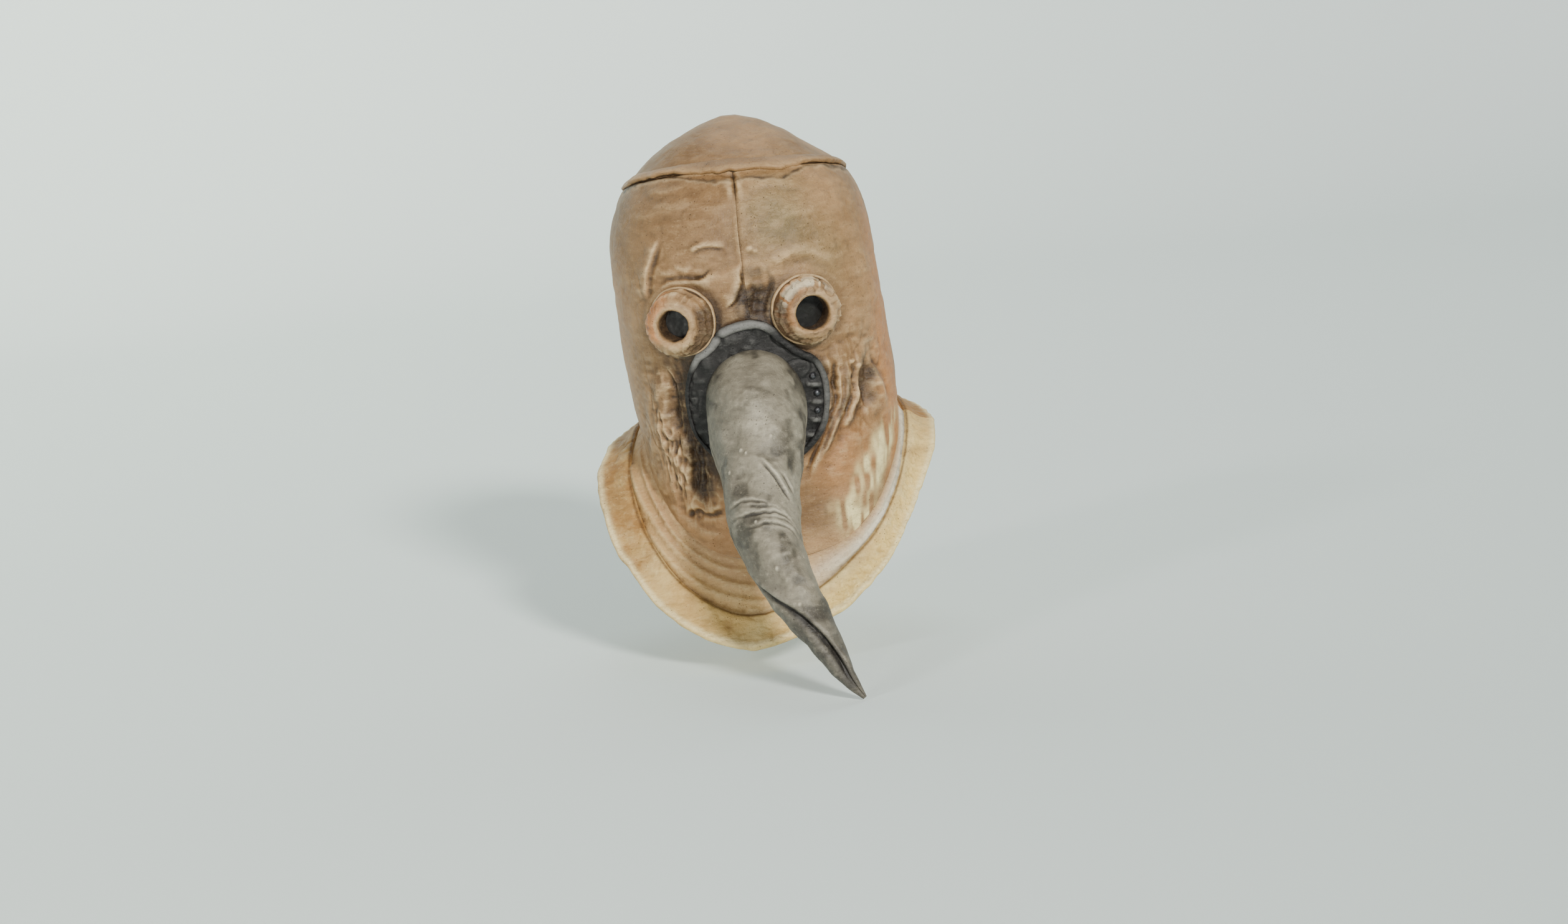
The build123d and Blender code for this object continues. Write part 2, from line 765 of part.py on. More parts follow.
def make_mask():
    parts = dict(hood_panels())
    parts["crown_edge_band"] = crown_edge_band()
    parts.update(seam_tapes())
    parts["hood_lining"] = hood_lining()
    parts["back_gusset"] = back_gusset()
    parts["head_ring_pad"] = head_ring_pad()
    parts["nose_pad"] = nose_pad()
    for side, name in enumerate(("left", "right")):
        parts[f"eye_flange_{name}"] = eye_flange(side)
        parts[f"eye_cup_{name}"] = eye_cup(side)
        for piece, solid in lens_stack(side).items():
            parts[f"{piece}_{name}"] = solid
    parts["beak_plate"] = beak_plate()
    parts["plate_bead"] = plate_bead()
    parts["plate_rivets"] = rivets(rivet_frames(), PLATE_OUT + 0.3)
    parts["plate_rivet_burrs"] = burrs(rivet_frames())
    parts["beak_upper"] = beak_half(0)
    parts["beak_lower"] = beak_half(180)
    parts["nose_screen"] = nose_screen()
    parts["herb_sachet"] = herb_sachet()
    parts.update(collar_pieces())
    for name, z in zip(("upper", "lower"), TOGGLE_Z):
        parts[f"closure_tab_{name}"] = closure_tab(z)
        parts[f"toggle_post_{name}"] = toggle_post(z)
        parts[f"toggle_{name}"] = toggle(z)
    parts["tab_rivets"] = rivets(tab_rivet_frames(), TAB_OUT + 0.1)
    parts["tab_rivet_burrs"] = burrs(tab_rivet_frames())
    return parts


os.makedirs("parts", exist_ok=True)
for name, shape in make_mask().items():
    export_step(shape, f"parts/{name}.step")
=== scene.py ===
"""Looks of a leather hood mask with a long beak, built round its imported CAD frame.

Lengths here are millimetres until a mesh is made. +Z is up, -Y is the way the wearer looks, +X is the
wearer's left. The hood, the beak and the collar repeat the CAD's own lines, so each piece lies where its
CAD solid lies; folds, creases and edges are then worked into the surface.
"""

import math

import bmesh
import bpy
import numpy as np
from mathutils import Matrix, Vector


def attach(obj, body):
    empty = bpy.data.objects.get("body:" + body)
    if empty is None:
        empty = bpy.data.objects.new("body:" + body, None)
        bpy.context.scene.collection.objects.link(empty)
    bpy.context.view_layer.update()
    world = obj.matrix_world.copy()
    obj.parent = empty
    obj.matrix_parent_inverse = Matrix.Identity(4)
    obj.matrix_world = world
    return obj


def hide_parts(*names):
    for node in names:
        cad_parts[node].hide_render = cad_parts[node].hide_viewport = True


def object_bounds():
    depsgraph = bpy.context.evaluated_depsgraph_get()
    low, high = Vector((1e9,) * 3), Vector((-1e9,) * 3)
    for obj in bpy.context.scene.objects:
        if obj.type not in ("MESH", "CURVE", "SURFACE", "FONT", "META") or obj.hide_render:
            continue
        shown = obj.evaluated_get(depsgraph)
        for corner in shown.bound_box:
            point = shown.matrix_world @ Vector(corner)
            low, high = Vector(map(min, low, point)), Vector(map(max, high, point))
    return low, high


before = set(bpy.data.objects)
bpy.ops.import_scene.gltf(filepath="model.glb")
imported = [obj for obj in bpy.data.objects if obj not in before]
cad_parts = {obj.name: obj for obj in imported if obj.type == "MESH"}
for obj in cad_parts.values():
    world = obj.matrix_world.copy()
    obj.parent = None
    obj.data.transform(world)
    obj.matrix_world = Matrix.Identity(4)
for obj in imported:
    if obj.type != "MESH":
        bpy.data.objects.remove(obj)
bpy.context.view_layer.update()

MM = 0.001
DENSE = 1.0
LEATHER = 3.0

# Hood, from neck to apex: height, shift to the left, half width, depth in front, depth behind
HOOD_ROWS = np.array((
    (-205.0, 8.0, 93.0, 95.5, 88.0),
    (-150.0, 10.0, 95.5, 98.5, 91.0),
    (-107.0, 10.5, 97.5, 101.5, 95.0),
    (-72.0, 8.9, 100.5, 105.0, 103.0),
    (-31.0, 5.7, 101.2, 107.5, 114.0),
    (10.0, 3.4, 100.7, 107.5, 118.0),
    (50.0, 2.0, 97.5, 104.5, 115.0),
    (75.0, 2.5, 90.6, 98.0, 107.5),
    (89.0, 2.8, 82.0, 89.5, 98.0),
    (102.0, 1.8, 68.3, 75.5, 83.0),
    (117.0, 1.0, 46.5, 52.0, 58.0),
    (127.0, 1.8, 25.5, 28.5, 32.0),
    (133.0, 2.5, 6.0, 7.0, 8.0),
))
FRONT_POWER = 2.5
BACK_POWER = 2.1
CROWN_ORIGIN = (0.0, -88.0, 103.3)
CROWN_SLOPE = 0.176
SIDE_SEAM_Y = 10.0
# The crown's lapped edge: x, height over the seam
LIP_ROWS = np.array((
    (-80, -2.0), (-62, 1.0), (-44, 1.0), (-24, -5.0), (0, -9.0),
    (18, -7.0), (34, -9.5), (48, -4.5), (62, -0.5), (84, -3.0),
))
SLIT_TOP = 46.0
SLIT_HALF = 2.0
TOGGLE_Z = (15.0, -35.0)
POST_X = 18.0
TAB_X = (-36.0, 37.0)
TAB_TALL = 20.0
TAB_SLOT = (27.0, 8.0)
PAD_OUT = -5.6
LINING_OUT = -4.5
LINING_THICK = 0.8
TAPE_OUT = -3.2
TAPE_THICK = 1.0
RING_PAD_Z = (38.0, 66.0)
HEAD_HALF = (79.0, 99.0)
NECK_LINE = np.array(
    ((-135.0, -232.0), (-95.0, -190.0), (-50.0, -138.0), (0.0, -103.0), (60.0, -82.0), (135.0, -66.0))
)

EYE_X = {"left": 45.2, "right": -45.8}
EYE_Z = -6.0
EYE_SPLAY = 13.0
FLANGE_R = 25.8
SLEEVE_R = 20.0
# Sections of the eye pieces: radius, height over the hood's face
FLANGE_SECTION = np.array(
    ((20.4, 3.0), (22.5, 3.0), (24.3, 3.0), (25.0, 3.5), (25.7, 3.4), (26.3, 2.6), (26.4, 1.2), (26.1, 0.3))
)
CUP_SKIN = np.array((
    (24.4, 2.6), (25.0, 4.0), (24.8, 6.0), (24.0, 8.7), (22.8, 11.4),
    (21.1, 14.0), (19.1, 16.4), (17.2, 18.4), (15.7, 19.3), (14.3, 19.1),
    (13.2, 17.9), (12.7, 15.8), (12.5, 12.5), (12.6, 8.0), (12.8, 3.0),
))
CUP_BACK = np.array(
    ((18.2, 3.0), (18.2, -3.0), (18.2, -9.0), (20.0, -9.0), (20.0, -3.0), (20.0, 3.3), (22.5, 3.3))
)

BEAK_ROWS = np.array((
    (2.0, -100.0, -70.0, 37.0, 42.0, 0.0),
    (2.0, -114.0, -75.0, 36.8, 41.0, 12.0),
    (1.5, -130.0, -88.0, 35.0, 38.0, 27.0),
    (0.5, -149.0, -109.0, 32.0, 33.5, 38.0),
    (0.0, -168.0, -133.0, 28.4, 28.4, 43.0),
    (4.5, -197.0, -166.0, 23.0, 23.0, 51.0),
    (20.0, -219.0, -201.0, 16.6, 16.6, 61.0),
    (40.0, -233.0, -238.0, 9.8, 9.8, 74.0),
    (49.0, -238.0, -256.0, 6.0, 6.0, 79.0),
    (57.5, -240.5, -268.0, 1.6, 1.6, 82.0),
))
# How far the mouth line has turned over the top: share of the beak's length, degrees
MOUTH_ROWS = np.array(
    ((0.0, 0.0), (0.52, 0.0), (0.59, 6.0), (0.66, 36.0), (0.74, 72.0), (0.85, 102.0), (1.0, 116.0))
)
NOSE_CENTRE = (2.0, -72.0)
NOSE_HOLE = (29.0, 33.0)

PLATE_LINE = np.array((
    (0.0, -9.0),
    (17.0, -13.0),
    (34.0, -32.0),
    (49.5, -44.0),
    (55.0, -66.0),
    (48.5, -96.0),
    (24.0, -117.0),
    (-20.0, -117.0),
    (-42.0, -96.0),
    (-48.0, -66.0),
    (-42.0, -40.0),
    (-24.0, -17.0),
))
PLATE_MIDDLE = np.array((5.0, -64.0))
PLATE_OUT = 4.3

COLLAR_AXIS_X = 9.0
RIM_ROWS = np.array((
    (0.0, 126.0, -125.0),
    (-24.0, 114.0, -169.0),
    (-55.0, 116.0, -214.0),
    (-81.0, 123.0, -240.0),
    (-106.0, 133.0, -248.5),
    (-129.0, 136.0, -226.0),
    (-148.0, 138.0, -188.0),
    (-166.0, 137.0, -148.0),
    (-182.0, 131.0, -126.0),
    (-205.0, 125.0, -112.0),
    (-235.0, 120.0, -102.0),
    (-270.0, 118.0, -96.0),
    (-305.0, 120.0, -102.0),
    (-335.0, 126.0, -112.0),
))
HEM_WIDE = 25.0
HEM_SHARE_MAX = 0.62
# Section of the hem band: share of its width, height over the collar's face
HEM_SECTION = np.array((
    (0.0, -2.6), (-0.01, 0.2), (0.05, 1.3), (0.18, 1.9), (0.36, 1.5), (0.56, 1.3), (0.74, 1.9), (0.88, 3.1),
    (0.97, 3.5), (1.03, 2.6), (1.06, 0.6), (1.04, -1.6), (0.97, -3.2), (0.8, -3.6), (0.4, -3.5), (0.1, -3.4),
))


# ---------------------------------------------------------------- lines and noise


def distances(rows):
    return np.concatenate([[0.0], np.cumsum(np.linalg.norm(np.diff(rows, axis=0), axis=1))])


def glide(rows, marks, place):
    """Rows at places on a smooth line through the rows."""
    place = np.asarray(place, float)
    n = len(rows)
    hi = np.minimum(np.arange(n) + 1, n - 1)
    lo = np.maximum(np.arange(n) - 1, 0)
    slopes = (rows[hi] - rows[lo]) / (marks[hi] - marks[lo])[:, None]
    i = np.clip(np.searchsorted(marks, place, "right") - 1, 0, n - 2)
    gap = (marks[i + 1] - marks[i])[..., None]
    u = ((place - marks[i]) / gap[..., 0])[..., None]
    return (
        rows[i] * (2 * u**3 - 3 * u**2 + 1)
        + slopes[i] * gap * (u**3 - 2 * u**2 + u)
        + rows[i + 1] * (3 * u**2 - 2 * u**3)
        + slopes[i + 1] * gap * (u**3 - u**2)
    )


def unit(value):
    return np.clip(value, 0, 1)


def bump(value, middle, wide):
    """1 where value is middle, falling to 0 a few widths away."""
    return np.exp(-(((value - middle) / wide) ** 2))


def smoothstep(low, high, value):
    u = unit((value - low) / (high - low))
    return u * u * (3 - 2 * u)


def lattice(ix, iy, iz, seed):
    """A fixed value from -1 to 1 for each lattice point."""
    h = ix * np.uint32(374761393) + iy * np.uint32(668265263) + iz * np.uint32(2246822519)
    h = h + np.uint32(seed * 40503 + 12345)
    h = (h ^ (h >> np.uint32(13))) * np.uint32(1274126177)
    h = h ^ (h >> np.uint32(16))
    return (h & np.uint32(0xFFFF)).astype(float) / 32767.5 - 1


def noise(points, size, seed=0):
    """Smooth noise from -1 to 1 with features of a size in millimetres."""
    q = points / size + 1000.0
    base = np.floor(q)
    f = q - base
    f = f**3 * (f * (6 * f - 15) + 10)
    b = base.astype(np.uint32)
    out = 0.0
    for dx in (0, 1):
        for dy in (0, 1):
            for dz in (0, 1):
                weight = (
                    (f[..., 0] if dx else 1 - f[..., 0])
                    * (f[..., 1] if dy else 1 - f[..., 1])
                    * (f[..., 2] if dz else 1 - f[..., 2])
                )
                ix, iy, iz = (b[..., k] + np.uint32(step) for k, step in enumerate((dx, dy, dz)))
                out = out + weight * lattice(ix, iy, iz, seed)
    return out


def wrinkles(points, size, seed=0):
    """Thin valleys from 0 to -1 between soft swellings."""
    sum_of_two = noise(points, size, seed) + 0.5 * noise(points, size / 2, seed + 7)
    return -((1 - np.abs(sum_of_two)) ** 4).clip(0, 1)


def blurred(grid, times):
    """A grid of values averaged with its neighbours, again and again."""
    for _ in range(times):
        g = np.pad(grid, 1, mode="edge")
        grid = (g[:-2, 1:-1] + g[2:, 1:-1] + g[1:-1, :-2] + g[1:-1, 2:] + 2 * g[1:-1, 1:-1]) / 6
    return grid


def dense_path(path, steps=6):
    path = np.array(path, float)
    marks = distances(path)
    return glide(path, marks, np.linspace(0, marks[-1], (len(path) - 1) * steps + 1))


def fold(at, path, up, soft, sharp, groove=0.0, fade=0.25):
    """Height of a fold along a path. Its left flank is soft, its right one sharp and followed by a groove."""
    line = dense_path(path)
    best = np.full(at.shape[:-1], 1e9)
    side = np.zeros_like(best)
    where = np.zeros_like(best)
    marks = distances(line)
    for k in range(len(line) - 1):
        a, d = line[k], line[k + 1] - line[k]
        rel = at - a
        u = unit((rel @ d) / (d @ d))
        off = rel - u[..., None] * d
        dist = np.hypot(off[..., 0], off[..., 1])
        near = dist < best
        best = np.where(near, dist, best)
        turn = d[0] * rel[..., 1] - d[1] * rel[..., 0]
        side = np.where(near, np.sign(turn), side)
        where = np.where(near, (marks[k] + u * (marks[k + 1] - marks[k])) / marks[-1], where)
    taper = smoothstep(0, fade, where) * smoothstep(1, 1 - fade, where)
    signed = best * side
    ridge = np.where(signed > 0, bump(signed, 0, soft), bump(signed, 0, sharp))
    dip = np.exp(-(((signed + 2.0 * sharp) / (1.1 * sharp)) ** 2))
    return taper * (up * ridge - groove * dip)


def bowl(at, middle, half, turn=0.0):
    """1 in the middle of an ellipse, falling smoothly to 0 outside it."""
    c, s = math.cos(math.radians(turn)), math.sin(math.radians(turn))
    rel = at - np.array(middle)
    u = (rel[..., 0] * c + rel[..., 1] * s) / half[0]
    v = (rel[..., 1] * c - rel[..., 0] * s) / half[1]
    return np.exp(-((u * u + v * v) ** 1.3))


# ---------------------------------------------------------------- meshes


def mesh_object(name, verts, faces, smooth_angle=50):
    mesh = bpy.data.meshes.new(name)
    mesh.from_pydata((np.asarray(verts) * MM).tolist(), [], [tuple(int(i) for i in f) for f in faces])
    mesh.update()
    bm = bmesh.new()
    bm.from_mesh(mesh)
    bmesh.ops.recalc_face_normals(bm, faces=bm.faces)
    bm.to_mesh(mesh)
    bm.free()
    mesh.shade_smooth()
    mesh.set_sharp_from_angle(angle=math.radians(smooth_angle))
    obj = bpy.data.objects.new(name, mesh)
    bpy.context.scene.collection.objects.link(obj)
    return obj


def grid_faces(rows, cols, closed, start=0, flip=False):
    i, j = np.meshgrid(np.arange(rows - 1), np.arange(cols if closed else cols - 1), indexing="ij")
    a = i * cols + j
    b = i * cols + (j + 1) % cols
    quads = np.stack([a, b, b + cols, a + cols], -1).reshape(-1, 4) + start
    return quads[:, ::-1] if flip else quads


def slab(name, outer, inner, closed=False, keep=None, smooth_angle=50):
    """A closed wall between an outer and an inner grid, without the cells that keep says no to.

    Closed grids wrap round along their columns."""
    rows, cols = outer.shape[:2]
    count = rows * cols
    across = cols if closed else cols - 1
    kept = np.ones((rows - 1, across), bool) if keep is None else keep
    i, j = np.meshgrid(np.arange(rows - 1), np.arange(across), indexing="ij")
    a, b = i * cols + j, i * cols + (j + 1) % cols
    c, d = b + cols, a + cols
    faces = [np.stack([a, b, c, d], -1)[kept], np.stack([d, c, b, a], -1)[kept] + count]
    side = np.pad(kept, ((1, 1), (0, 0)))
    level = np.roll(kept, 1, 1), np.roll(kept, -1, 1)
    if not closed:
        level[0][:, 0] = False
        level[1][:, -1] = False
    for p, q, beyond in ((a, b, side[:-2]), (c, d, side[2:]), (d, a, level[0]), (b, c, level[1])):
        rim = kept & ~beyond
        faces.append(np.stack([q[rim], p[rim], p[rim] + count, q[rim] + count], -1))
    verts = np.concatenate([outer.reshape(-1, 3), inner.reshape(-1, 3)])
    return mesh_object(name, verts, np.concatenate(faces), smooth_angle)


def ring_solid(name, grid, smooth_angle=60):
    """A closed solid from a grid that wraps both ways."""
    rows, cols = grid.shape[:2]
    wrapped = np.concatenate([grid_faces(rows, cols, True), np.array(
        [[(rows - 1) * cols + j, (rows - 1) * cols + (j + 1) % cols, (j + 1) % cols, j] for j in range(cols)]
    )])
    return mesh_object(name, grid.reshape(-1, 3), wrapped, smooth_angle)


def capped_tube(name, grid, smooth_angle=60):
    """A closed solid from a grid whose columns wrap round, with flat caps at its first and last row."""
    rows, cols = grid.shape[:2]
    verts = np.concatenate([grid.reshape(-1, 3), [grid[0].mean(0)], [grid[-1].mean(0)]])
    first, last = rows * cols, rows * cols + 1
    caps = []
    for j in range(cols):
        k = (j + 1) % cols
        caps.append((j, k, first, first))
        caps.append(((rows - 1) * cols + j, (rows - 1) * cols + k, last, last))
    faces = [tuple(f) for f in grid_faces(rows, cols, True)] + [f[:3] for f in caps]
    return mesh_object(name, verts, faces, smooth_angle)


def paint(obj, turned=False, **layers):
    """Per-vertex values for the materials. A wall's inner face repeats its outer face's values."""
    for key, values in layers.items():
        flat = np.zeros(len(obj.data.vertices))
        values = np.asarray(values, float)
        values = (values.T if turned else values).reshape(-1)
        flat[: len(values)] = values
        if len(obj.data.vertices) >= 2 * len(values):
            flat[len(values) : 2 * len(values)] = values
        layer = obj.data.attributes.new(key, "FLOAT", "POINT")
        layer.data.foreach_set("value", flat)


def grid_normals(grid, outward):
    """Unit normals of a grid of points, on the side that outward points to."""
    du = np.gradient(grid, axis=1)
    dv = np.gradient(grid, axis=0)
    n = np.cross(du, dv)
    n /= np.linalg.norm(n, axis=-1, keepdims=True) + 1e-12
    sign = np.sign((n * outward).sum(-1, keepdims=True))
    return n * np.where(sign == 0, 1, sign)


def finish_piece(obj, body, slot, material, *nodes):
    bm = bmesh.new()
    bm.from_mesh(obj.data)
    bmesh.ops.delete(bm, geom=[v for v in bm.verts if not v.link_faces], context="VERTS")
    bm.to_mesh(obj.data)
    bm.free()
    obj.data.materials.append(material)
    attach(obj, body)
    if nodes:
        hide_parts(*nodes)
    return obj


# ---------------------------------------------------------------- hood surface

HOOD_MARKS = distances(HOOD_ROWS)
APEX = HOOD_MARKS[-1]
FINE_MARKS = np.linspace(0, APEX, 3000)
FINE_ROWS = glide(HOOD_ROWS, HOOD_MARKS, FINE_MARKS)


def mark_at(z):
    return np.interp(z, FINE_ROWS[:, 0], FINE_MARKS)


def power_round(value, power):
    return np.sign(value) * np.abs(value) ** (2 / power)


def hood_at(angle, mark):
    """Points of the hood's outer face. Angle runs round the hood from the wearer's left, with the front at
    minus a quarter turn.
    """
    angle, mark = np.broadcast_arrays(angle, mark)
    row = glide(HOOD_ROWS, HOOD_MARKS, mark)
    c, s = np.cos(angle), np.sin(angle)
    front = s < 0
    power = np.where(front, FRONT_POWER, BACK_POWER)
    depth = np.where(front, row[..., 3], row[..., 4])
    x = row[..., 1] + row[..., 2] * power_round(c, power)
    return np.stack([x, depth * power_round(s, power), row[..., 0]], -1)


def front_y(x, z):
    row = glide(HOOD_ROWS, HOOD_MARKS, mark_at(z))
    inside = unit(1 - (np.abs(x - row[..., 1]) / row[..., 2]) ** FRONT_POWER)
    return -row[..., 3] * inside ** (1 / FRONT_POWER)


def back_y(x, z):
    row = glide(HOOD_ROWS, HOOD_MARKS, mark_at(z))
    inside = unit(1 - (np.abs(x - row[..., 1]) / row[..., 2]) ** BACK_POWER)
    return row[..., 4] * inside ** (1 / BACK_POWER)


def crown_z(y):
    return CROWN_ORIGIN[2] - (y - CROWN_ORIGIN[1]) * CROWN_SLOPE


def neck_z(y):
    return glide(NECK_LINE, NECK_LINE[:, 0], y)[..., 1]


def solve_mark(angle, height):
    """For each angle, the mark where the hood meets a height that depends on y."""
    low, high = np.zeros_like(angle), np.full_like(angle, APEX)
    for _ in range(40):
        middle = (low + high) / 2
        p = hood_at(angle, middle)
        over = p[..., 2] > height(p[..., 1])
        high = np.where(over, middle, high)
        low = np.where(over, low, middle)
    return (low + high) / 2


def angle_at_side_seam(sign):
    """Angle where the side seam runs, for each side of the hood."""
    s = (SIDE_SEAM_Y / 114.0) ** (BACK_POWER / 2)
    return math.asin(s) if sign > 0 else math.pi - math.asin(s)


def front_folds(p):
    """Folds and hollows of the front panels, by the place seen from the front."""
    at = p[..., [0, 2]]
    sway = np.stack([noise(p, 15, k) + 0.4 * noise(p, 5, k + 2) for k in (301, 302)], -1)
    free, mild = at + 2.2 * sway, at + 0.9 * sway
    tall = noise(p * np.array((1.0, 1.0, 0.2)), 6.2, 305)
    pleats = 1 - 2 * np.abs(tall + 0.35 * noise(p * np.array((1.0, 1.0, 0.4)), 2.8, 306))
    lumps = noise(p * np.array((1.0, 1.0, 0.6)), 7, 307) + 0.5 * noise(p, 3.4, 308)
    d = np.zeros(p.shape[:-1])
    # forehead and brow
    for place, path, *form in (
        (at, [(-72, 8), (-69, 28), (-63, 44), (-57, 58)], 2.6, 6.0, 1.6, 0.8),
        (free, [(-14, 29), (-24, 24), (-40, 23), (-55, 20), (-66, 10)], 2.6, 9.0, 2.0, 0.7, 0.35),
        (free, [(-20, 29), (-30, 25), (-38, 25)], 0.8, 1.6, 0.9, 1.0, 0.3),
        (free, [(22, 31), (42, 36), (62, 32), (74, 20)], 1.6, 9.0, 4.0, 0.4),
    ):
        d += fold(place, path, *form)
    d += 1.3 * bowl(free, (-27, 46), (6, 3.5), 20)
    d += 1.3 * bowl(at, (9, 43), (2.4, 1.8)) + 0.9 * bowl(at, (13, 41), (2, 1.5))
    for path, *form in (
        ([(-34, 42), (-20, 48), (-8, 46)], 0.9, 4.0, 1.2, 0.7),
        ([(-50, 36), (-42, 33), (-34, 36)], 0.6, 3.0, 2.0, 0.3),
        ([(-78, 72), (-50, 74), (-20, 80)], 0.9, 9.0, 4.0, 0.3),
        ([(-70, 92), (-45, 88), (-15, 93)], 1.0, 6.0, 3.0, 0.3),
        ([(10, 86), (30, 90), (56, 84)], 0.8, 7.0, 3.0, 0.3),
        ([(18, 58), (44, 66), (70, 60)], 0.8, 8.0, 5.0, 0.3),
    ):
        d += fold(free, path, *form)
    # bridge of the nose: the right panel's free edge laps over sunken wrinkled leather, which panel_paint
    # paints in shade
    d -= 4.6 * bowl(at, (14, 5), (13, 15)) * (1 - 0.5 * lumps)
    d += fold(at, [(-15, 1), (-8, 5), (-3, 11), (-0.5, 20), (0.6, 34)], 1.9, 9.0, 0.8, 1.9, 0.25)
    # left cheek of the wearer
    d -= 8.5 * bowl(free, (85.5, -67), (6.0, 22), -8)
    d -= 2.5 * bowl(free, (62, -58), (5, 12), -15)
    for place, path, *form in (
        (mild, [(62, -38), (66.5, -54), (64, -76), (54, -98), (42, -120), (35, -137)],
         2.2, 4.5, 1.7, 1.6, 0.2),
        (mild, [(69, -46), (71, -62), (66, -82), (56, -101), (44, -124)], 1.8, 3.6, 1.6, 1.2, 0.25),
        (mild, [(74, -40), (79.5, -52), (79, -68), (72, -86), (62, -104)], 3.0, 5.0, 2.2, 1.2, 0.3),
        (mild, [(97, -94), (95, -76), (91.5, -58), (88, -40)], 3.4, 6.0, 2.2, 0.9, 0.3),
        (free, [(98, -20), (94, 10), (90, 40)], 1.6, 7.0, 4.0),
        (free, [(80, -96), (66, -112), (50, -140)], 1.4, 9.0, 5.0, 0.4),
        (free, [(96, -100), (86, -130), (68, -160)], 1.4, 7.0, 5.0, 0.4),
    ):
        d += fold(place, path, *form)
    for middle, half in (((75, -50), (1.8, 1.8)), ((79, -54), (1.6, 1.8)), ((86, -66), (1.8, 1.6))):
        d += 1.4 * bowl(at, middle, half)
    d += (0.6 * lumps + 0.8 * pleats) * bowl(at, (68, -74), (20, 36), -10)
    # right cheek of the wearer, with gathers beside the beak
    d -= 9.0 * bowl(free, (-55, -72), (10.5, 34), 3) + 3.5 * bowl(free, (-43, -108), (6, 26), 8)
    d += (1.5 * lumps + 1.9 * pleats) * bowl(at, (-56, -80), (17, 46))
    d += 2.6 * pleats * bowl(free, (-49, -124), (16, 30), 6)
    for path, *form in (
        ([(-64, -112), (-66, -88), (-67, -64), (-69, -42)], 3.0, 7.0, 2.6, 1.0),
        ([(-62, -152), (-50, -147), (-38, -150), (-28, -146)], 1.8, 5.0, 2.0, 1.2),
        ([(-80, -60), (-78, -90), (-76, -120), (-70, -150)], 1.6, 6.0, 3.0, 0.7),
        ([(-30, -172), (-52, -162), (-72, -144)], 1.0, 6.0, 3.0, 0.5),
    ):
        d += fold(free, path, *form)
    return d


def crumple(p):
    """How crumpled the leather is, from 0 to 1."""
    at = p[..., [0, 2]]
    front = smoothstep(10, -30, p[..., 1])
    spots = (
        ((-72, -82), (14, 42)),
        ((-46, -128), (22, 30)),
        ((13, 5), (15, 18)),
        ((86, -60), (14, 36)),
        ((60, -70), (14, 36)),
        ((-50, 20), (26, 12)),
        ((-2, 92), (9, 9)),
    )
    out = 0.0
    for middle, half in spots:
        out = np.maximum(out, bowl(at, middle, half))
    return unit(out) * front


def covered(p):
    """1 where the beak's plate, an eye piece or a closure tab lies on the hood, which stays even there."""
    at = p[..., [0, 2]]
    rel = at - PLATE_MIDDLE
    reach = plate_reach(np.arctan2(rel[..., 1], rel[..., 0]))
    cover = smoothstep(1.06, 0.98, np.hypot(rel[..., 0], rel[..., 1]) / reach)
    for x in EYE_X.values():
        cover = np.maximum(cover, smoothstep(31.0, 26.5, np.hypot(at[..., 0] - x, at[..., 1] - EYE_Z)))
    tabs = 0.0
    for z in TOGGLE_Z:
        out = np.maximum(np.abs(at[..., 0] - 0.5) - 38.0, np.abs(at[..., 1] - z) - 11.0)
        tabs = np.maximum(tabs, smoothstep(9.0, 0.0, out))
    return np.where(p[..., 1] < 0, cover, tabs)


def hood_sway(p):
    """Slow unevenness of the whole hood."""
    return 1.3 * noise(p, 48, 3) + 0.5 * noise(p, 21, 4)


def hood_fold(p):
    """The wall's own bends, which its lining follows."""
    d = hood_sway(p) + front_folds(p) * smoothstep(15, -20, p[..., 1])
    at = p[..., [0, 2]]
    sag = fold(at, [(-78, -62), (-40, -56), (-4, -66)], 1.6, 7.0, 4.0, 0.8)
    for path, *form in (
        ([(80, -58), (46, -50), (8, -62)], 1.6, 7.0, 4.0, 0.8),
        ([(-76, -4), (-52, -14), (-44, -12)], 1.2, 7.0, 4.0, 0.5),
        ([(84, 6), (62, -8), (48, -12)], 1.2, 8.0, 4.0, 0.5),
        ([(-86, 40), (-50, 46), (-12, 40)], 0.9, 9.0, 5.0, 0.3),
    ):
        sag += fold(at, path, *form)
    return (d + sag * smoothstep(20, 60, p[..., 1])) * (1 - covered(p))


def hood_skin(p):
    """Finer creases and grain lumps of the outer face only."""
    rough = crumple(p)
    streak = p * np.array((0.55, 0.55, 1.0))
    d = (0.34 + 0.8 * rough) * noise(streak, 8, 11) + (0.15 + 0.5 * rough) * noise(streak, 3.4, 12)
    d += (0.22 + 0.8 * rough) * wrinkles(p, 23, 13)
    return d * (1 - 0.6 * covered(p))


def hood_grid(angles, low, high, rows):
    """Grid of the hood's face, rows from the low to the high mark of each column."""
    share = np.linspace(0, 1, rows)[:, None]
    mark = low[None] + (high - low)[None] * share
    p = hood_at(np.broadcast_to(angles, mark.shape), mark)
    outward = p - np.array((5.0, 0.0, 0.0)) - p * np.array((0.0, 0.0, 0.6))
    return p, grid_normals(p, outward)


def edge_gap(p, sides):
    """Distance in millimetres from each grid point to the nearest of the named sides of the grid."""
    out = np.full(p.shape[:2], 1e9)
    across = np.linalg.norm(np.diff(p, axis=1), axis=-1)
    along = np.linalg.norm(np.diff(p, axis=0), axis=-1)
    left = np.pad(np.cumsum(across, 1), ((0, 0), (1, 0)))
    up = np.pad(np.cumsum(along, 0), ((1, 0), (0, 0)))
    if "first" in sides:
        out = np.minimum(out, left)
    if "last" in sides:
        out = np.minimum(out, left[:, -1:] - left)
    if "bottom" in sides:
        out = np.minimum(out, up)
    if "top" in sides:
        out = np.minimum(out, up[-1:] - up)
    return out


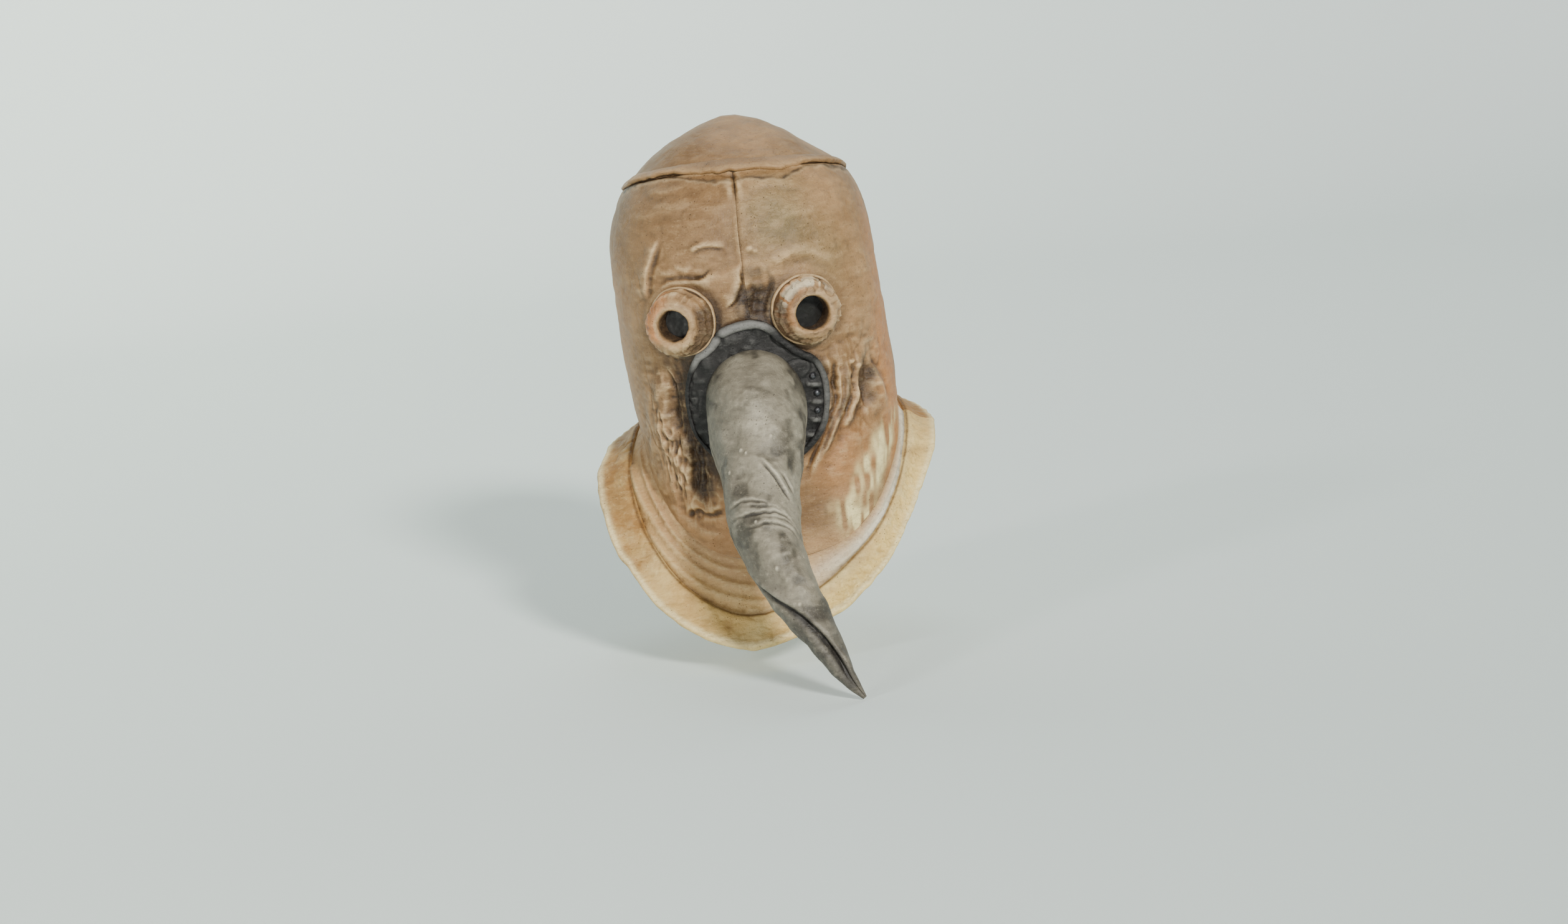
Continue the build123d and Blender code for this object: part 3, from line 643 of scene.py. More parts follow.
def sewn(gap, deep=1.9):
    """A sewn edge: it rolls in at the seam, behind a low swelling."""
    return -deep * bump(gap, 0, 1.6) + 0.36 * deep * bump(gap, 4.6, 2.6)


def cavity(d, soft=1.0):
    """How hollow and how raised each place of a grid is beside its surroundings, at three scales. The
    materials paint shade into the hollows and highlights onto the raised places.
    """
    fine, mid = blurred(d, max(1, int(3 * DENSE))), blurred(d, int(24 * DENSE**2) + 1)
    wide = blurred(mid, int(100 * DENSE**2))
    hollow = 0.35 * unit((fine - d) / 0.3) + 0.7 * unit((mid - d) / (1.1 * soft))
    hollow = hollow + 0.6 * unit((wide - d) / (3.2 * soft))
    ridge = 0.8 * unit((d - mid) / (0.9 * soft)) + 0.3 * unit((d - fine) / 0.3)
    return {"hollow": unit(hollow), "ridge": unit(ridge)}


def panel_paint(obj, p, d):
    """Values for the leather: painted shade in hollows and shadowed places, painted highlights on ridges, and
    where it turns olive, orange, pale, worn or dirty. The orange on the hood's sides is painted reflected
    light, and the darkening over the forehead on the wearer's right is painted shade.
    """
    at = p[..., [0, 2]]
    front = smoothstep(10, -30, p[..., 1])
    free = at + 4.0 * np.stack([noise(p, 12, 311), noise(p, 12, 312)], -1)
    rel = at - PLATE_MIDDLE
    off = np.hypot(rel[..., 0], rel[..., 1]) - plate_reach(np.arctan2(rel[..., 1], rel[..., 0]))
    rugged = 0.5 * noise(p, 9, 313) + 0.5 * noise(p * np.array((1, 1, 0.28)), 4.5, 314)
    # Painted shade: a dark band beside the plate on the wearer's right, the hollow of the wearer's left
    # cheek, the place between the eyes and lines along the left cheek's folds.
    beside = smoothstep(-2, -18, at[..., 0]) * smoothstep(0, -24, at[..., 1])
    deep = 0.95 * smoothstep(25, 8, off + 10 * rugged) * beside
    deep = np.maximum(deep, smoothstep(0.25, 0.9, bowl(free, (-45, -118), (9, 34), 8) + 0.4 * rugged))
    cheek = bowl(free, (84.5, -66), (7.5, 27), -10)
    deep = np.maximum(deep, 0.95 * smoothstep(0.25, 0.95, cheek + 0.35 * rugged))
    deep = np.maximum(deep, smoothstep(0.2, 0.8, bowl(free, (11, 4), (18, 23)) + 0.5 * rugged))
    lines = (
        ((70, -44), (69.5, -62), (66, -80), (56, -104), (41, -128)),
        ((60, -46), (61.5, -64), (59, -82), (50, -104), (38, -126)),
        ((83, -50), (84, -66), (77, -86), (64, -106)),
    )
    for path in lines:
        deep = np.maximum(deep, 0.8 * fold(free, path, 1.0, 2.6, 2.2, 0, 0.3))
    # Painted shade round the eye pieces, heaviest on their inner and lower sides, and in a ring along the
    # plate's edge.
    rim = 0.0
    for x in EYE_X.values():
        reach = np.hypot(at[..., 0] - x, at[..., 1] - EYE_Z)
        inner = smoothstep(-6, 26, (x - at[..., 0]) * np.sign(x))
        below = smoothstep(0, -24, at[..., 1])
        rim = np.maximum(rim, smoothstep(37, 26, reach) * (0.25 + 0.65 * inner + 0.35 * below))
    rim = np.maximum(rim, 0.85 * smoothstep(7, 0, off + 3 * rugged))
    # Painted shade under the crown's lapped edge.
    under = p[..., 2] - crown_z(p[..., 1]) - seam_wave(p)
    deep = np.maximum(deep, 0.8 * bump(under, -3.0, 1.7) * (1 + 0.6 * noise(p, 7, 317)))
    worn = 0.3 * np.exp(-(((under + 4.6 + 1.2 * noise(p, 5, 318)) / 1.4) ** 2))
    # Darker round the plate, most on the wearer's right, and in a patch low on the front; the darkening over
    # the forehead on the wearer's right is painted shade.
    soil = 0.75 * smoothstep(46, 2, off + 8 * rugged) * (0.45 + 0.55 * smoothstep(30, -20, at[..., 0]))
    soil = np.maximum(soil, 0.5 * smoothstep(12, -50, at[..., 0]) * smoothstep(10, 60, at[..., 1]))
    soil = np.maximum(soil, 0.45 * bowl(free, (-20, 50), (60, 26)) + 0.5 * bowl(free, (40, -160), (30, 16)))
    olive = 0.7 * bowl(free, (30, 62), (26, 30)) + 0.35 * bowl(free, (62, 30), (16, 26))
    # Painted reflected light: an orange glow along both sides of the hood, strongest on the wearer's left.
    # Two orange patches lower on the front are added too.
    warm = 0.8 * smoothstep(88, 104, p[..., 0]) + 0.4 * smoothstep(-80, -100, p[..., 0])
    warm = warm + 0.5 * bowl(free, (62, -116), (26, 30)) + 0.3 * bowl(free, (-30, -160), (40, 26))
    pale = bowl(free, (84, -132), (9, 32), -28) + 0.8 * bowl(free, (70, -168), (16, 14), -40)
    paint(
        obj,
        **cavity(d),
        deep=unit(np.maximum(deep, rim) * front),
        olive=unit(olive * front),
        warm=unit(warm * front),
        pale=unit(pale * front * (0.9 + 1.8 * noise(p * np.array((1.2, 1, 0.35)), 5, 315))),
        soil=unit(soil * front),
        worn=unit(worn * front),
    )


def front_panel(name, sign, material):
    """One front panel, from the forehead seam to the side seam, with its holes for the eye and the nose."""
    cols, rows = int(250 * DENSE), int(270 * DENSE)
    seam = 0.0001
    middle = -math.pi / 2
    side = angle_at_side_seam(sign)
    if sign < 0:
        side -= 2 * math.pi
    u = np.linspace(0, 1, cols)
    angles = middle + sign * seam + (side - middle - sign * 2 * seam) * u
    low = solve_mark(angles, lambda y: neck_z(y) + 0.15)
    high = solve_mark(angles, lambda y: crown_z(y) - 0.15)
    p, n = hood_grid(angles, low, high, rows)
    centre_gap = edge_gap(p, ("first",))
    bend = hood_fold(p)
    skin = hood_skin(p)
    # The right panel's edge laps over the left one's, and they part just under the crown.
    skin = skin + sewn(edge_gap(p, ("last", "top")))
    lap = smoothstep(22, 34, p[..., 2])
    parted = bowl(p[..., [0, 2]], (0, 89), (14, 9))
    if sign < 0:
        skin = skin + (0.6 + 0.5 * noise(p, 9, 41)) * lap * bump(centre_gap, 0, 2.6) * (1 - parted)
    skin = skin + sewn(centre_gap, 1.6) * parted + (sign > 0) * sewn(centre_gap, 0.4) * lap
    outer = p + n * (bend + skin)[..., None]
    inner = p + n * (bend - LEATHER)[..., None]
    obj = holed_slab(name, outer, inner, *openings(p, ["left" if sign > 0 else "right"]))
    panel_paint(obj, p, bend + skin)
    return finish_piece(obj, "mask", "hood_leather", material, name)


def openings(p, sides, grow=0.0):
    """Which cells of a grid on the hood's front to keep, and how far its points move to the holes' edges."""
    move = np.zeros_like(p)
    gone = np.zeros(p.shape[:2], bool)
    front = p[..., 1] < -20
    rel = p - np.array((NOSE_CENTRE[0], 0.0, NOSE_CENTRE[1]))
    reach = np.hypot(rel[..., 0] / (NOSE_HOLE[0] + grow), rel[..., 2] / (NOSE_HOLE[1] + grow))
    holes = [(reach, rel * np.array((1.0, 0.0, 1.0)))]
    for side in sides:
        middle, across, up, _ = eye_axes(side)
        rel = p - middle
        a, b = rel @ across, rel @ up
        holes.append((np.hypot(a, b) / (SLEEVE_R + 0.5 + grow), a[..., None] * across + b[..., None] * up))
    for reach, away in holes:
        inside = front & (reach < 1)
        gone |= inside
        move += np.where(inside, 1 / np.maximum(reach, 1e-3) - 1, 0.0)[..., None] * away
    return gone, move


def holed_slab(name, outer, inner, gone, move, closed=False):
    """A wall whose cells that are wholly in a hole are left out, and whose points at the edge move to it."""
    g = np.concatenate([gone, gone[:, :1]], 1) if closed else gone
    keep = ~(g[:-1, :-1] & g[1:, :-1] & g[:-1, 1:] & g[1:, 1:])
    used = np.zeros_like(gone)
    for di in (0, 1):
        for dj in (0, 1):
            part = np.roll(keep, dj, 1) if closed else np.pad(keep, ((0, 0), (dj, 1 - dj)))
            used[di : di + keep.shape[0]] |= part
    shift = np.where(used[..., None], move, 0.0)
    return slab(name, outer + shift, inner + shift, closed, keep)


def back_panel(name, sign, material):
    cols, rows = int(180 * DENSE), int(200 * DENSE)
    side = angle_at_side_seam(sign) + sign * 0.0016
    middle = math.pi / 2 - sign * 0.0016
    angles = np.linspace(middle, side, cols)
    low = solve_mark(angles, lambda y: neck_z(y) + 0.15)
    high = solve_mark(angles, lambda y: crown_z(y) - 0.15)
    p, n = hood_grid(angles, low, high, rows)
    # The slit: the edge draws back from the middle below the slit's top.
    open_by = SLIT_HALF * smoothstep(SLIT_TOP + 2, SLIT_TOP - 3, p[..., 2])
    pull = bump(edge_gap(p, ("first",)), 0, 9.0) * open_by
    p[..., 0] += sign * pull
    gap = edge_gap(p, ("first", "last", "top"))
    bend, skin = hood_fold(p), hood_skin(p) + sewn(gap)
    outer = p + n * (bend + skin)[..., None]
    inner = p + n * (bend - LEATHER)[..., None]
    obj = slab(name, outer, inner)
    panel_paint(obj, p, bend + skin)
    return finish_piece(obj, "mask", "hood_leather", material, name)


def seam_wave(p):
    """How far the crown's folded edge wanders up and down over the seam."""
    front = smoothstep(10, -40, p[..., 1])
    wave = glide(LIP_ROWS, LIP_ROWS[:, 0], np.clip(p[..., 0], -80, 84))[..., 1]
    return (wave + 1.2 * noise(p, 10, 35) + 0.9 * noise(p, 4, 36)) * front - 0.8 * (1 - front)


def crown_panel(material):
    cols, rows = int(460 * DENSE), int(120 * DENSE)
    angles = np.linspace(-math.pi, math.pi, cols, endpoint=False)
    low = solve_mark(angles, lambda y: crown_z(y) + 0.15)
    high = np.full_like(low, APEX)
    p, n = hood_grid(angles, low, high, rows)
    bend = hood_sway(p)
    at = p[..., [0, 2]]
    front = smoothstep(15, -15, p[..., 1])
    for path, *form in (
        ([(-62, 104), (-30, 118), (0, 120), (34, 112)], 1.1, 9.0, 5.0, 0.3),
        ([(-50, 108), (-10, 110), (30, 106), (60, 104)], 1.2, 5.0, 4.0, 0.4),
        ([(10, 128), (30, 118), (52, 108)], 0.9, 5.0, 3.0),
    ):
        bend += front * fold(at, path, *form)
    skin = hood_skin(p) - 0.8 * bump(edge_gap(p, ("bottom",)), 0, 3.0)
    outer = p + n * (bend + skin)[..., None]
    inner = p + n * (bend - LEATHER)[..., None]
    top_out = outer[-1].mean(0)
    outer, inner = close_top(outer, top_out), close_top(inner, top_out - np.array((0, 0, LEATHER)))
    obj = slab("crown_panel", outer, inner, closed=True)
    panel_paint(obj, np.concatenate([p, p[-1:]]), np.pad(bend + skin, ((0, 1), (0, 0)), mode="edge"))
    return finish_piece(obj, "mask", "hood_leather", material, "crown_panel")


def close_top(grid, point):
    """Adds a last row that lies almost at one point."""
    last = point + (grid[-1] - point) * 0.02
    return np.concatenate([grid, last[None]])


def crown_edge(material):
    """The crown's folded edge: a doubled strip with a round lower lip that laps over the seam."""
    cols = int(620 * DENSE)
    angles = np.linspace(-math.pi, math.pi, cols, endpoint=False)
    seam = solve_mark(angles, crown_z)
    face = hood_at(angles, seam)
    wave = seam_wave(face)
    front = smoothstep(30, -40, face[:, 1])
    thick = 2.0 + 1.5 * front + 0.9 * noise(face, 18, 31) + 0.5 * noise(face, 6, 32)
    # Section of the strip: distance above its lower lip, and height over the crown's face.
    lip = [(0.9 * (1 - math.cos(a)), math.sin(a)) for a in np.linspace(-1.4, 1.5, 8)]
    rows = [(0.4, -0.3)] + [(u, 0.52 + 0.48 * v) for u, v in lip]
    rows += [(3.4, 1.0), (6.0, 0.93), (9.0, 0.72), (12.5, 0.4), (16.0, 0.08), (18.5, -0.25)]
    grid = []
    for up, high in rows:
        mark = np.clip(seam - 1.4 + wave * max(0.0, 1 - up / 16) + up, 0, APEX - 1)
        p = hood_at(angles, mark)
        q = hood_at(angles, mark + 1.0)
        r = hood_at(angles + 0.01, mark)
        n = np.cross(r - p, q - p)
        n /= np.linalg.norm(n, axis=-1, keepdims=True)
        bend = hood_sway(p)
        skin = 0.3 * noise(p, 7, 33) + 0.12 * noise(p, 3, 34)
        grid.append(p + n * (bend + skin + thick * high)[:, None])
    obj = ring_solid("crown_edge_band", np.array(grid))
    d = np.broadcast_to(np.array([r[1] for r in rows])[:, None], (len(rows), cols))
    # Painted shade under the lower lip, and a painted highlight along its crest.
    tone = np.zeros_like(d)
    tone[:3] = 1.0
    paint(obj, hollow=tone, ridge=np.where(d > 0.97, 0.25, 0.0), deep=tone * 0.8)
    return finish_piece(obj, "mask", "hood_leather", material, "crown_edge_band")


def hood_strip(name, angles, low, high, rows, out, thick, slot, material, closed=False):
    """A layer inside the hood that follows the wall's bends."""
    p, n = hood_grid(angles, low, high, rows)
    bend = hood_fold(p) + out
    outer, inner = p + n * bend[..., None], p + n * (bend - thick)[..., None]
    obj = holed_slab(name, outer, inner, *openings(p, EYE_X, 0.4), closed)
    return finish_piece(obj, "mask", slot, material, name)


def hood_inside(cloth, tape, gusset):
    """The lining, the tapes behind the seams and the gusset behind the slit."""

    def sew_tape(name, angles, low, high, rows, closed=False):
        hood_strip(name, angles, low, high, rows, TAPE_OUT, TAPE_THICK, "lining_cloth", tape, closed)

    cols = int(300 * DENSE)
    angles = np.linspace(-math.pi, math.pi, cols, endpoint=False)
    low = solve_mark(angles, lambda y: neck_z(y) + 2)
    high = np.full_like(low, APEX - 6)
    hood_strip(
        "hood_lining", angles, low, high, int(150 * DENSE), LINING_OUT, LINING_THICK,
        "lining_cloth", cloth, True,
    )
    seam = solve_mark(angles, crown_z)
    sew_tape("crown_seam_tape", angles, seam - 7, seam + 7, 9, True)
    around = np.linspace(math.pi / 2 + 0.13, 2.5 * math.pi - 0.13, cols)
    low = solve_mark(around, lambda y: neck_z(y) + 1)
    sew_tape("neck_seam_tape", around, low, low + 10, 7)
    brow = np.linspace(-0.5 * math.pi - 0.03, -0.5 * math.pi + 0.03, 9)
    low = solve_mark(brow, lambda y: 0 * y - 34)
    high = solve_mark(brow, lambda y: crown_z(y) - 7.5)
    sew_tape("forehead_seam_tape", brow, low, high, 60)
    for name, sign in (("left", 1), ("right", -1)):
        middle = angle_at_side_seam(sign)
        side = np.linspace(middle - 0.055, middle + 0.055, 9)
        low = solve_mark(side, lambda y: neck_z(y) + 12)
        high = solve_mark(side, lambda y: crown_z(y) - 7.5)
        sew_tape(f"side_seam_tape_{name}", side, low, high, 70)
    behind = np.linspace(math.pi / 2 - 0.1, math.pi / 2 + 0.1, 25)
    low = solve_mark(behind, lambda y: neck_z(y) + 1)
    high = solve_mark(behind, lambda y: 0 * y + SLIT_TOP + 10)
    hood_strip("back_gusset", behind, low, high, 90, TAPE_OUT, TAPE_THICK, "hood_leather", gusset)


# ---------------------------------------------------------------- eye pieces


def eye_axes(side):
    lean = math.radians(EYE_SPLAY) * (1 if side == "left" else -1)
    out = np.array((math.sin(lean), -math.cos(lean), 0.0))
    across = np.array((math.cos(lean), math.sin(lean), 0.0))
    x = EYE_X[side]
    middle = np.array((x, float(front_y(np.array(x), np.array(EYE_Z))), EYE_Z))
    return middle, across, np.array((0.0, 0.0, 1.0)), out


def eye_base(side, radius, turn):
    """Height of the hood's face along the eye's axis, at a radius and an angle round it."""
    middle, across, up, out = eye_axes(side)
    h = np.zeros(np.broadcast(radius, turn).shape)
    for _ in range(6):
        p = middle + (radius * np.cos(turn))[..., None] * across + (radius * np.sin(turn))[..., None] * up
        p = p + h[..., None] * out
        h = h + (front_y(p[..., 0], p[..., 2]) - p[..., 1]) / out[1]
    return h


def eye_points(side, radius, turn, height):
    middle, across, up, out = eye_axes(side)
    return (
        middle
        + (radius * np.cos(turn))[..., None] * across
        + (radius * np.sin(turn))[..., None] * up
        + height[..., None] * out
    )


def eye_flange(side, material):
    cols = int(200 * DENSE)
    turn = np.linspace(0, 2 * math.pi, cols, endpoint=False)[None]
    radius = FLANGE_SECTION[:, :1] * np.ones_like(turn)
    ring = np.stack([np.cos(turn) * 20, np.sin(turn) * 20, np.full_like(turn, EYE_X[side])], -1)
    radius = radius + 0.5 * noise(ring, 11, 51) + 0.25 * noise(ring, 4, 52)
    base = eye_base(side, radius, turn)
    outer = eye_points(side, radius, turn, base + FLANGE_SECTION[:, 1:] + 0.2 * noise(ring, 5, 53))
    inner = eye_points(side, np.minimum(radius, 25.4), turn, base + 0.05)
    obj = slab(f"eye_flange_{side}", outer, inner, closed=True)
    # Painted shade on the flange inside the cup's foot, and painted highlights along its crest.
    tone = np.broadcast_to(smoothstep(25.0, 24.0, FLANGE_SECTION[:, :1]), radius.shape)
    crest = bump(FLANGE_SECTION[:, :1], 25.6, 0.8) * (0.6 + 0.4 * noise(ring, 6, 54))
    paint(obj, hollow=tone, ridge=unit(crest))
    return finish_piece(obj, "mask", "hood_leather", material, f"eye_flange_{side}")


def eye_cup(side, material):
    """The swollen cup: its skirt follows the hood, its lip is round and level."""
    cols = int(260 * DENSE)
    turn = np.linspace(0, 2 * math.pi, cols, endpoint=False)[None]
    marks = distances(CUP_SKIN)
    skin = glide(CUP_SKIN, marks, np.linspace(0, marks[-1], int(70 * DENSE)))
    section = np.concatenate([skin, CUP_BACK])
    radius = section[:, :1] * np.ones_like(turn)
    height = section[:, 1:] * np.ones_like(turn)
    ring = np.stack([radius * np.cos(turn), radius * np.sin(turn), height + 3 * EYE_X[side]], -1)
    soft = np.zeros_like(radius)
    soft[: len(skin)] = smoothstep(3.0, 5.0, height[: len(skin)]) * 1.0
    tough = 1.0 if side == "left" else 0.7
    outside = soft * (radius > 14.8)
    twist = turn + 0.05 * noise(ring, 9, 60)
    pleats = np.stack([np.cos(twist) * 30, np.sin(twist) * 30, height * 0.35], -1)
    pleats = 1 - 2 * np.abs(noise(pleats, 5, 61))
    gathers = pleats * smoothstep(5, 9, height) * smoothstep(18.5, 14, height)
    swell = 0.9 * noise(ring, 13, 62) + tough * (0.5 * noise(ring, 5, 63) + 0.22 * noise(ring, 2.4, 64))
    swell = swell + 0.8 * gathers * tough + tough * 0.9 * wrinkles(ring, 8, 65)
    ringed = np.sin((height + 0.8 * noise(ring, 15, 69)) * 1.15)
    ringed = 0.55 * ringed * bump(height, 10.5, 5.0)
    lip = 0.7 * noise(ring, 9, 66) + 0.3 * noise(ring, 3, 67) - (1.3 if side == "right" else 0.3)
    radius = radius + outside * (swell + ringed) + soft * (1 - (radius > 14.8)) * lip
    height = height + soft * smoothstep(17, 20, height) * 0.6 * noise(ring, 8, 68)
    base = eye_base(side, np.maximum(radius, 20.0), turn)
    hold = 1 - smoothstep(3.0, 14.0, height)
    hold[len(skin) :] = (CUP_BACK[:, :1] > 19) & (CUP_BACK[:, 1:] > 0)
    points = eye_points(side, radius, turn, height + base * hold)
    lean = np.array((1.3, 0.0, -1.2) if side == "left" else (-3.0, 0.0, -0.6))
    points = points + (soft * smoothstep(4, 17, height))[..., None] * lean
    obj = ring_solid(f"eye_cup_{side}", points)
    # Painted shade inside the cup's mouth, at its foot, on its lower side and in the valleys between its
    # swellings.
    inside = (section[:, :1] < 14.6) * smoothstep(18.6, 13.0, section[:, 1:]) * np.ones_like(turn)
    low = smoothstep(6.5, 3.5, section[:, 1:]) * (section[:, :1] > 20)
    below = smoothstep(0.1, -0.9, np.sin(turn)) * smoothstep(17, 8, section[:, 1:])
    tone = unit(-swell - ringed) * 0.6 * outside + low * 0.9 + 0.55 * below
    # Painted highlights on the upper side of the lip and on the swellings, and pale painted highlights on the
    # gathers of the cup's upper side.
    bright = bump(section[:, 1:], 19.0, 1.3) * smoothstep(-0.8, 0.6, np.sin(turn))
    above = smoothstep(17, 14, section[:, 1:]) * smoothstep(7, 10, section[:, 1:])
    above = smoothstep(0.0, 0.9, np.sin(turn - 0.4)) * above
    # Painted reflected light: an orange tint on each cup's side towards the wearer's right.
    warm = smoothstep(-0.2, -0.9, np.cos(turn + 0.3)) * np.ones_like(radius)
    # Painted shade on each cup's side towards the nose.
    towards = np.cos(turn) * (1 if side == "right" else -1) - 0.5 * np.sin(turn)
    inner = 0.85 * smoothstep(0.2, 0.95, towards + 0.25 * noise(ring, 6, 70))
    inner = inner * smoothstep(20, 14.5, section[:, 1:])
    paint(
        obj,
        hollow=unit(tone),
        ridge=unit(0.25 * bright + 0.6 * unit(swell + ringed) * outside),
        deep=unit(inside + inner),
        pale=0.7 * above * (gathers > 0.2) if side == "left" else 0 * above * outside,
        warm=warm * (0.35 if side == "left" else 0.9) * outside,
    )
    return finish_piece(obj, "mask", "hood_leather", material, f"eye_cup_{side}")


# ---------------------------------------------------------------- plate and bead


def looped(points, count):
    """A smooth closed line through points."""
    wrapped = np.concatenate([points[-2:], points, points[:3]])
    marks = distances(wrapped)
    return glide(wrapped, marks, np.linspace(marks[2], marks[-3], count, endpoint=False))


def clear_of_eyes(at, clearance):
    """Moves places seen from the front out of the eye flanges' way."""
    for x in EYE_X.values():
        rel = at - np.array((x, EYE_Z))
        reach = np.hypot(rel[..., 0], rel[..., 1])[..., None]
        at = np.where(reach < clearance, np.array((x, EYE_Z)) + rel / reach * clearance, at)
    return at


def polar_reach(line, middle, angle):
    rel = line - middle
    around = np.arctan2(rel[:, 1], rel[:, 0])
    order = np.argsort(around)
    return np.interp(angle, around[order], np.hypot(rel[:, 0], rel[:, 1])[order], period=2 * math.pi)


PLATE_EDGE = looped(PLATE_LINE, 400)


def plate_reach(angle):
    return polar_reach(PLATE_EDGE, PLATE_MIDDLE, angle)


def on_front(at, lift):
    """Points over the hood's front face at places seen from the front."""
    d = 0.5
    x, z = at[..., 0], at[..., 1]
    slope_x = (front_y(x + d, z) - front_y(x - d, z)) / (2 * d)
    slope_z = (front_y(x, z + d) - front_y(x, z - d)) / (2 * d)
    n = np.stack([slope_x, -np.ones_like(x), slope_z], -1)
    n /= np.linalg.norm(n, axis=-1, keepdims=True)
    p = np.stack([x, front_y(x, z), z], -1)
    return p + n * lift[..., None], n


def beak_plate(material):
    cols, rows = int(420 * DENSE), int(70 * DENSE)
    turn = np.linspace(-math.pi, math.pi, cols, endpoint=False)
    hole_turn = np.linspace(0, 2 * math.pi, 200, endpoint=False)
    hole = np.stack([np.cos(hole_turn) * NOSE_HOLE[0], np.sin(hole_turn) * NOSE_HOLE[1]], -1) + NOSE_CENTRE
    inner_reach, outer_reach = polar_reach(hole, PLATE_MIDDLE, turn), plate_reach(turn)
    share = np.linspace(0, 1, rows)[:, None]
    reach = inner_reach + (outer_reach - inner_reach) * share
    at = PLATE_MIDDLE + np.stack([reach * np.cos(turn), reach * np.sin(turn)], -1)
    at = clear_of_eyes(at, FLANGE_R + 0.5)
    flat = np.concatenate([at, np.zeros(at.shape[:-1] + (1,))], -1)
    relief = 0.6 * noise(flat, 14, 71) + 0.35 * noise(flat, 5, 72) + 0.6 * wrinkles(flat, 12, 73)
    for x, z in ((44.5, -61.5), (45.5, -74.5), (44, -88), (40, -99)):
        relief += 2.0 * bowl(at, (x, z), (4.4, 2.4), -12)
    relief += 1.6 * bowl(at, (-12, -22), (9, 5), 15) + 1.0 * bowl(at, (-30, -36), (6, 8), 40)
    relief -= 1.5 * bowl(at, (18, -28), (16, 8), -30)
    top, _ = on_front(at, PLATE_OUT - 0.2 + relief)
    low, _ = on_front(at, np.full_like(relief, 0.2))
    obj = slab("beak_plate", top, low, closed=True)
    # Painted shade in the plate's dents and painted highlights on its bumps.
    paint(obj, **cavity(relief, 0.7))
    return finish_piece(obj, "mask", "plate_leather", material, "beak_plate")


def plate_bead(material):
    """Leather rolled over a cord along the plate's rim, nipped where its two lengths meet."""
    count, around = int(520 * DENSE), 20
    line = looped(PLATE_LINE, count)
    tangent = np.roll(line, -1, 0) - np.roll(line, 1, 0)
    tangent /= np.linalg.norm(tangent, axis=1, keepdims=True)
    inward = np.stack([tangent[:, 1], -tangent[:, 0]], -1)
    inward *= np.sign(((PLATE_MIDDLE - line) * inward).sum(1))[:, None]
    top = smoothstep(-45, -12, line[:, 1])
    width = 1.9 + 1.0 * top
    at = clear_of_eyes(line + inward * width[:, None], FLANGE_R + 2.8)
    p, n = on_front(at, np.full(count, PLATE_OUT + 0.6))
    nip = bump(np.hypot(line[:, 0] + 22, line[:, 1] + 15), 0, 2.6)
    along = np.concatenate([at, np.zeros((count, 1))], -1)
    size = (1 + 0.13 * noise(along, 9, 75) + 0.06 * noise(along, 4, 76)) * (1 - 0.42 * nip)
    side = np.cross(n, np.roll(p, -1, 0) - np.roll(p, 1, 0))
    side /= np.linalg.norm(side, axis=1, keepdims=True)
    a = np.linspace(0, 2 * math.pi, around, endpoint=False)
    left = smoothstep(-20, -44, line[:, 0]) * smoothstep(-36, -60, line[:, 1])
    wide = (width + 0.5 - 1.1 * left) * size
    high = (1.9 + 0.4 * top - 1.0 * left) * size
    grid = (
        p[:, None]
        + side[:, None] * (np.cos(a)[None] * wide[:, None])[..., None]
        + n[:, None] * (np.sin(a)[None] * high[:, None])[..., None]
    )
    grid = grid + n[:, None] * (0.16 * noise(grid, 2.6, 77))[..., None]
    obj = ring_solid("plate_bead", grid)
    # Painted light: the bead is lit along its top and along the crescent on the wearer's left, with painted
    # highlights on its upper side there; everywhere else and at the nip it is painted in shade.
    top = smoothstep(-44, -34, line[:, 1]) * smoothstep(26, 14, line[:, 0])
    crescent = smoothstep(-104, -84, line[:, 1]) * smoothstep(-38, -48, line[:, 1])
    crescent = crescent * smoothstep(38, 50, line[:, 0])
    lit = unit(top + 0.55 * crescent)[:, None]
    upper = unit(np.sin(a))[None]
    paint(
        obj,
        ridge=upper**2 * lit * 0.55,
        deep=unit(1 - lit + 0 * upper),
        hollow=unit(nip[:, None] + 0 * upper),
    )
    return finish_piece(obj, "mask", "bead_leather", material, "plate_bead")


# ---------------------------------------------------------------- beak

BEAK_MARKS = distances(BEAK_ROWS[:, :3])
BEAK_LONG = BEAK_MARKS[-1]


def beak_section(share):
    """Centre, axis to the left, axis up, half width and half height at shares of the beak's length."""
    place = np.asarray(share, float) * BEAK_LONG
    row = glide(BEAK_ROWS, BEAK_MARKS, place)
    behind = glide(BEAK_ROWS, BEAK_MARKS, np.maximum(place - 1, 0))
    ahead = glide(BEAK_ROWS, BEAK_MARKS, np.minimum(place + 1, BEAK_LONG))
    step = ahead[..., :3] - behind[..., :3]
    sideways = step[..., 0] / np.linalg.norm(step, axis=-1)
    level = np.sqrt(1 - sideways**2)
    pitch = np.radians(row[..., 5])
    along = np.stack([sideways, -level * np.cos(pitch), -level * np.sin(pitch)], -1)
    up = np.stack([0 * pitch, -np.sin(pitch), np.cos(pitch)], -1)
    across = np.cross(up, along)
    across /= np.linalg.norm(across, axis=-1, keepdims=True)
    return row[..., :3], across, up, row[..., 3], row[..., 4]


def beak_at(share, angle, inset):
    centre, across, up, wide, tall = beak_section(share)
    return (
        centre
        + across * ((wide - inset) * np.cos(angle))[..., None]
        + up * ((tall - inset) * np.sin(angle))[..., None]
    )


def beak_start(angle):
    """Share of the length where the beak stands on the plate, for each angle round it."""
    low, high = np.zeros_like(angle), np.full_like(angle, 0.35)
    for _ in range(30):
        middle = (low + high) / 2
        p = beak_at(middle, angle, 0.0)
        out = p[..., 1] < front_y(p[..., 0], p[..., 2]) - 3.6
        high = np.where(out, middle, high)
        low = np.where(out, low, middle)
    return (low + high) / 2


def beak_place(share, angle):
    """Places on the beak: millimetres to the left of its ridge, and along it."""
    return np.stack([(math.pi / 2 - angle) * beak_section(share)[3], share * BEAK_LONG], -1)


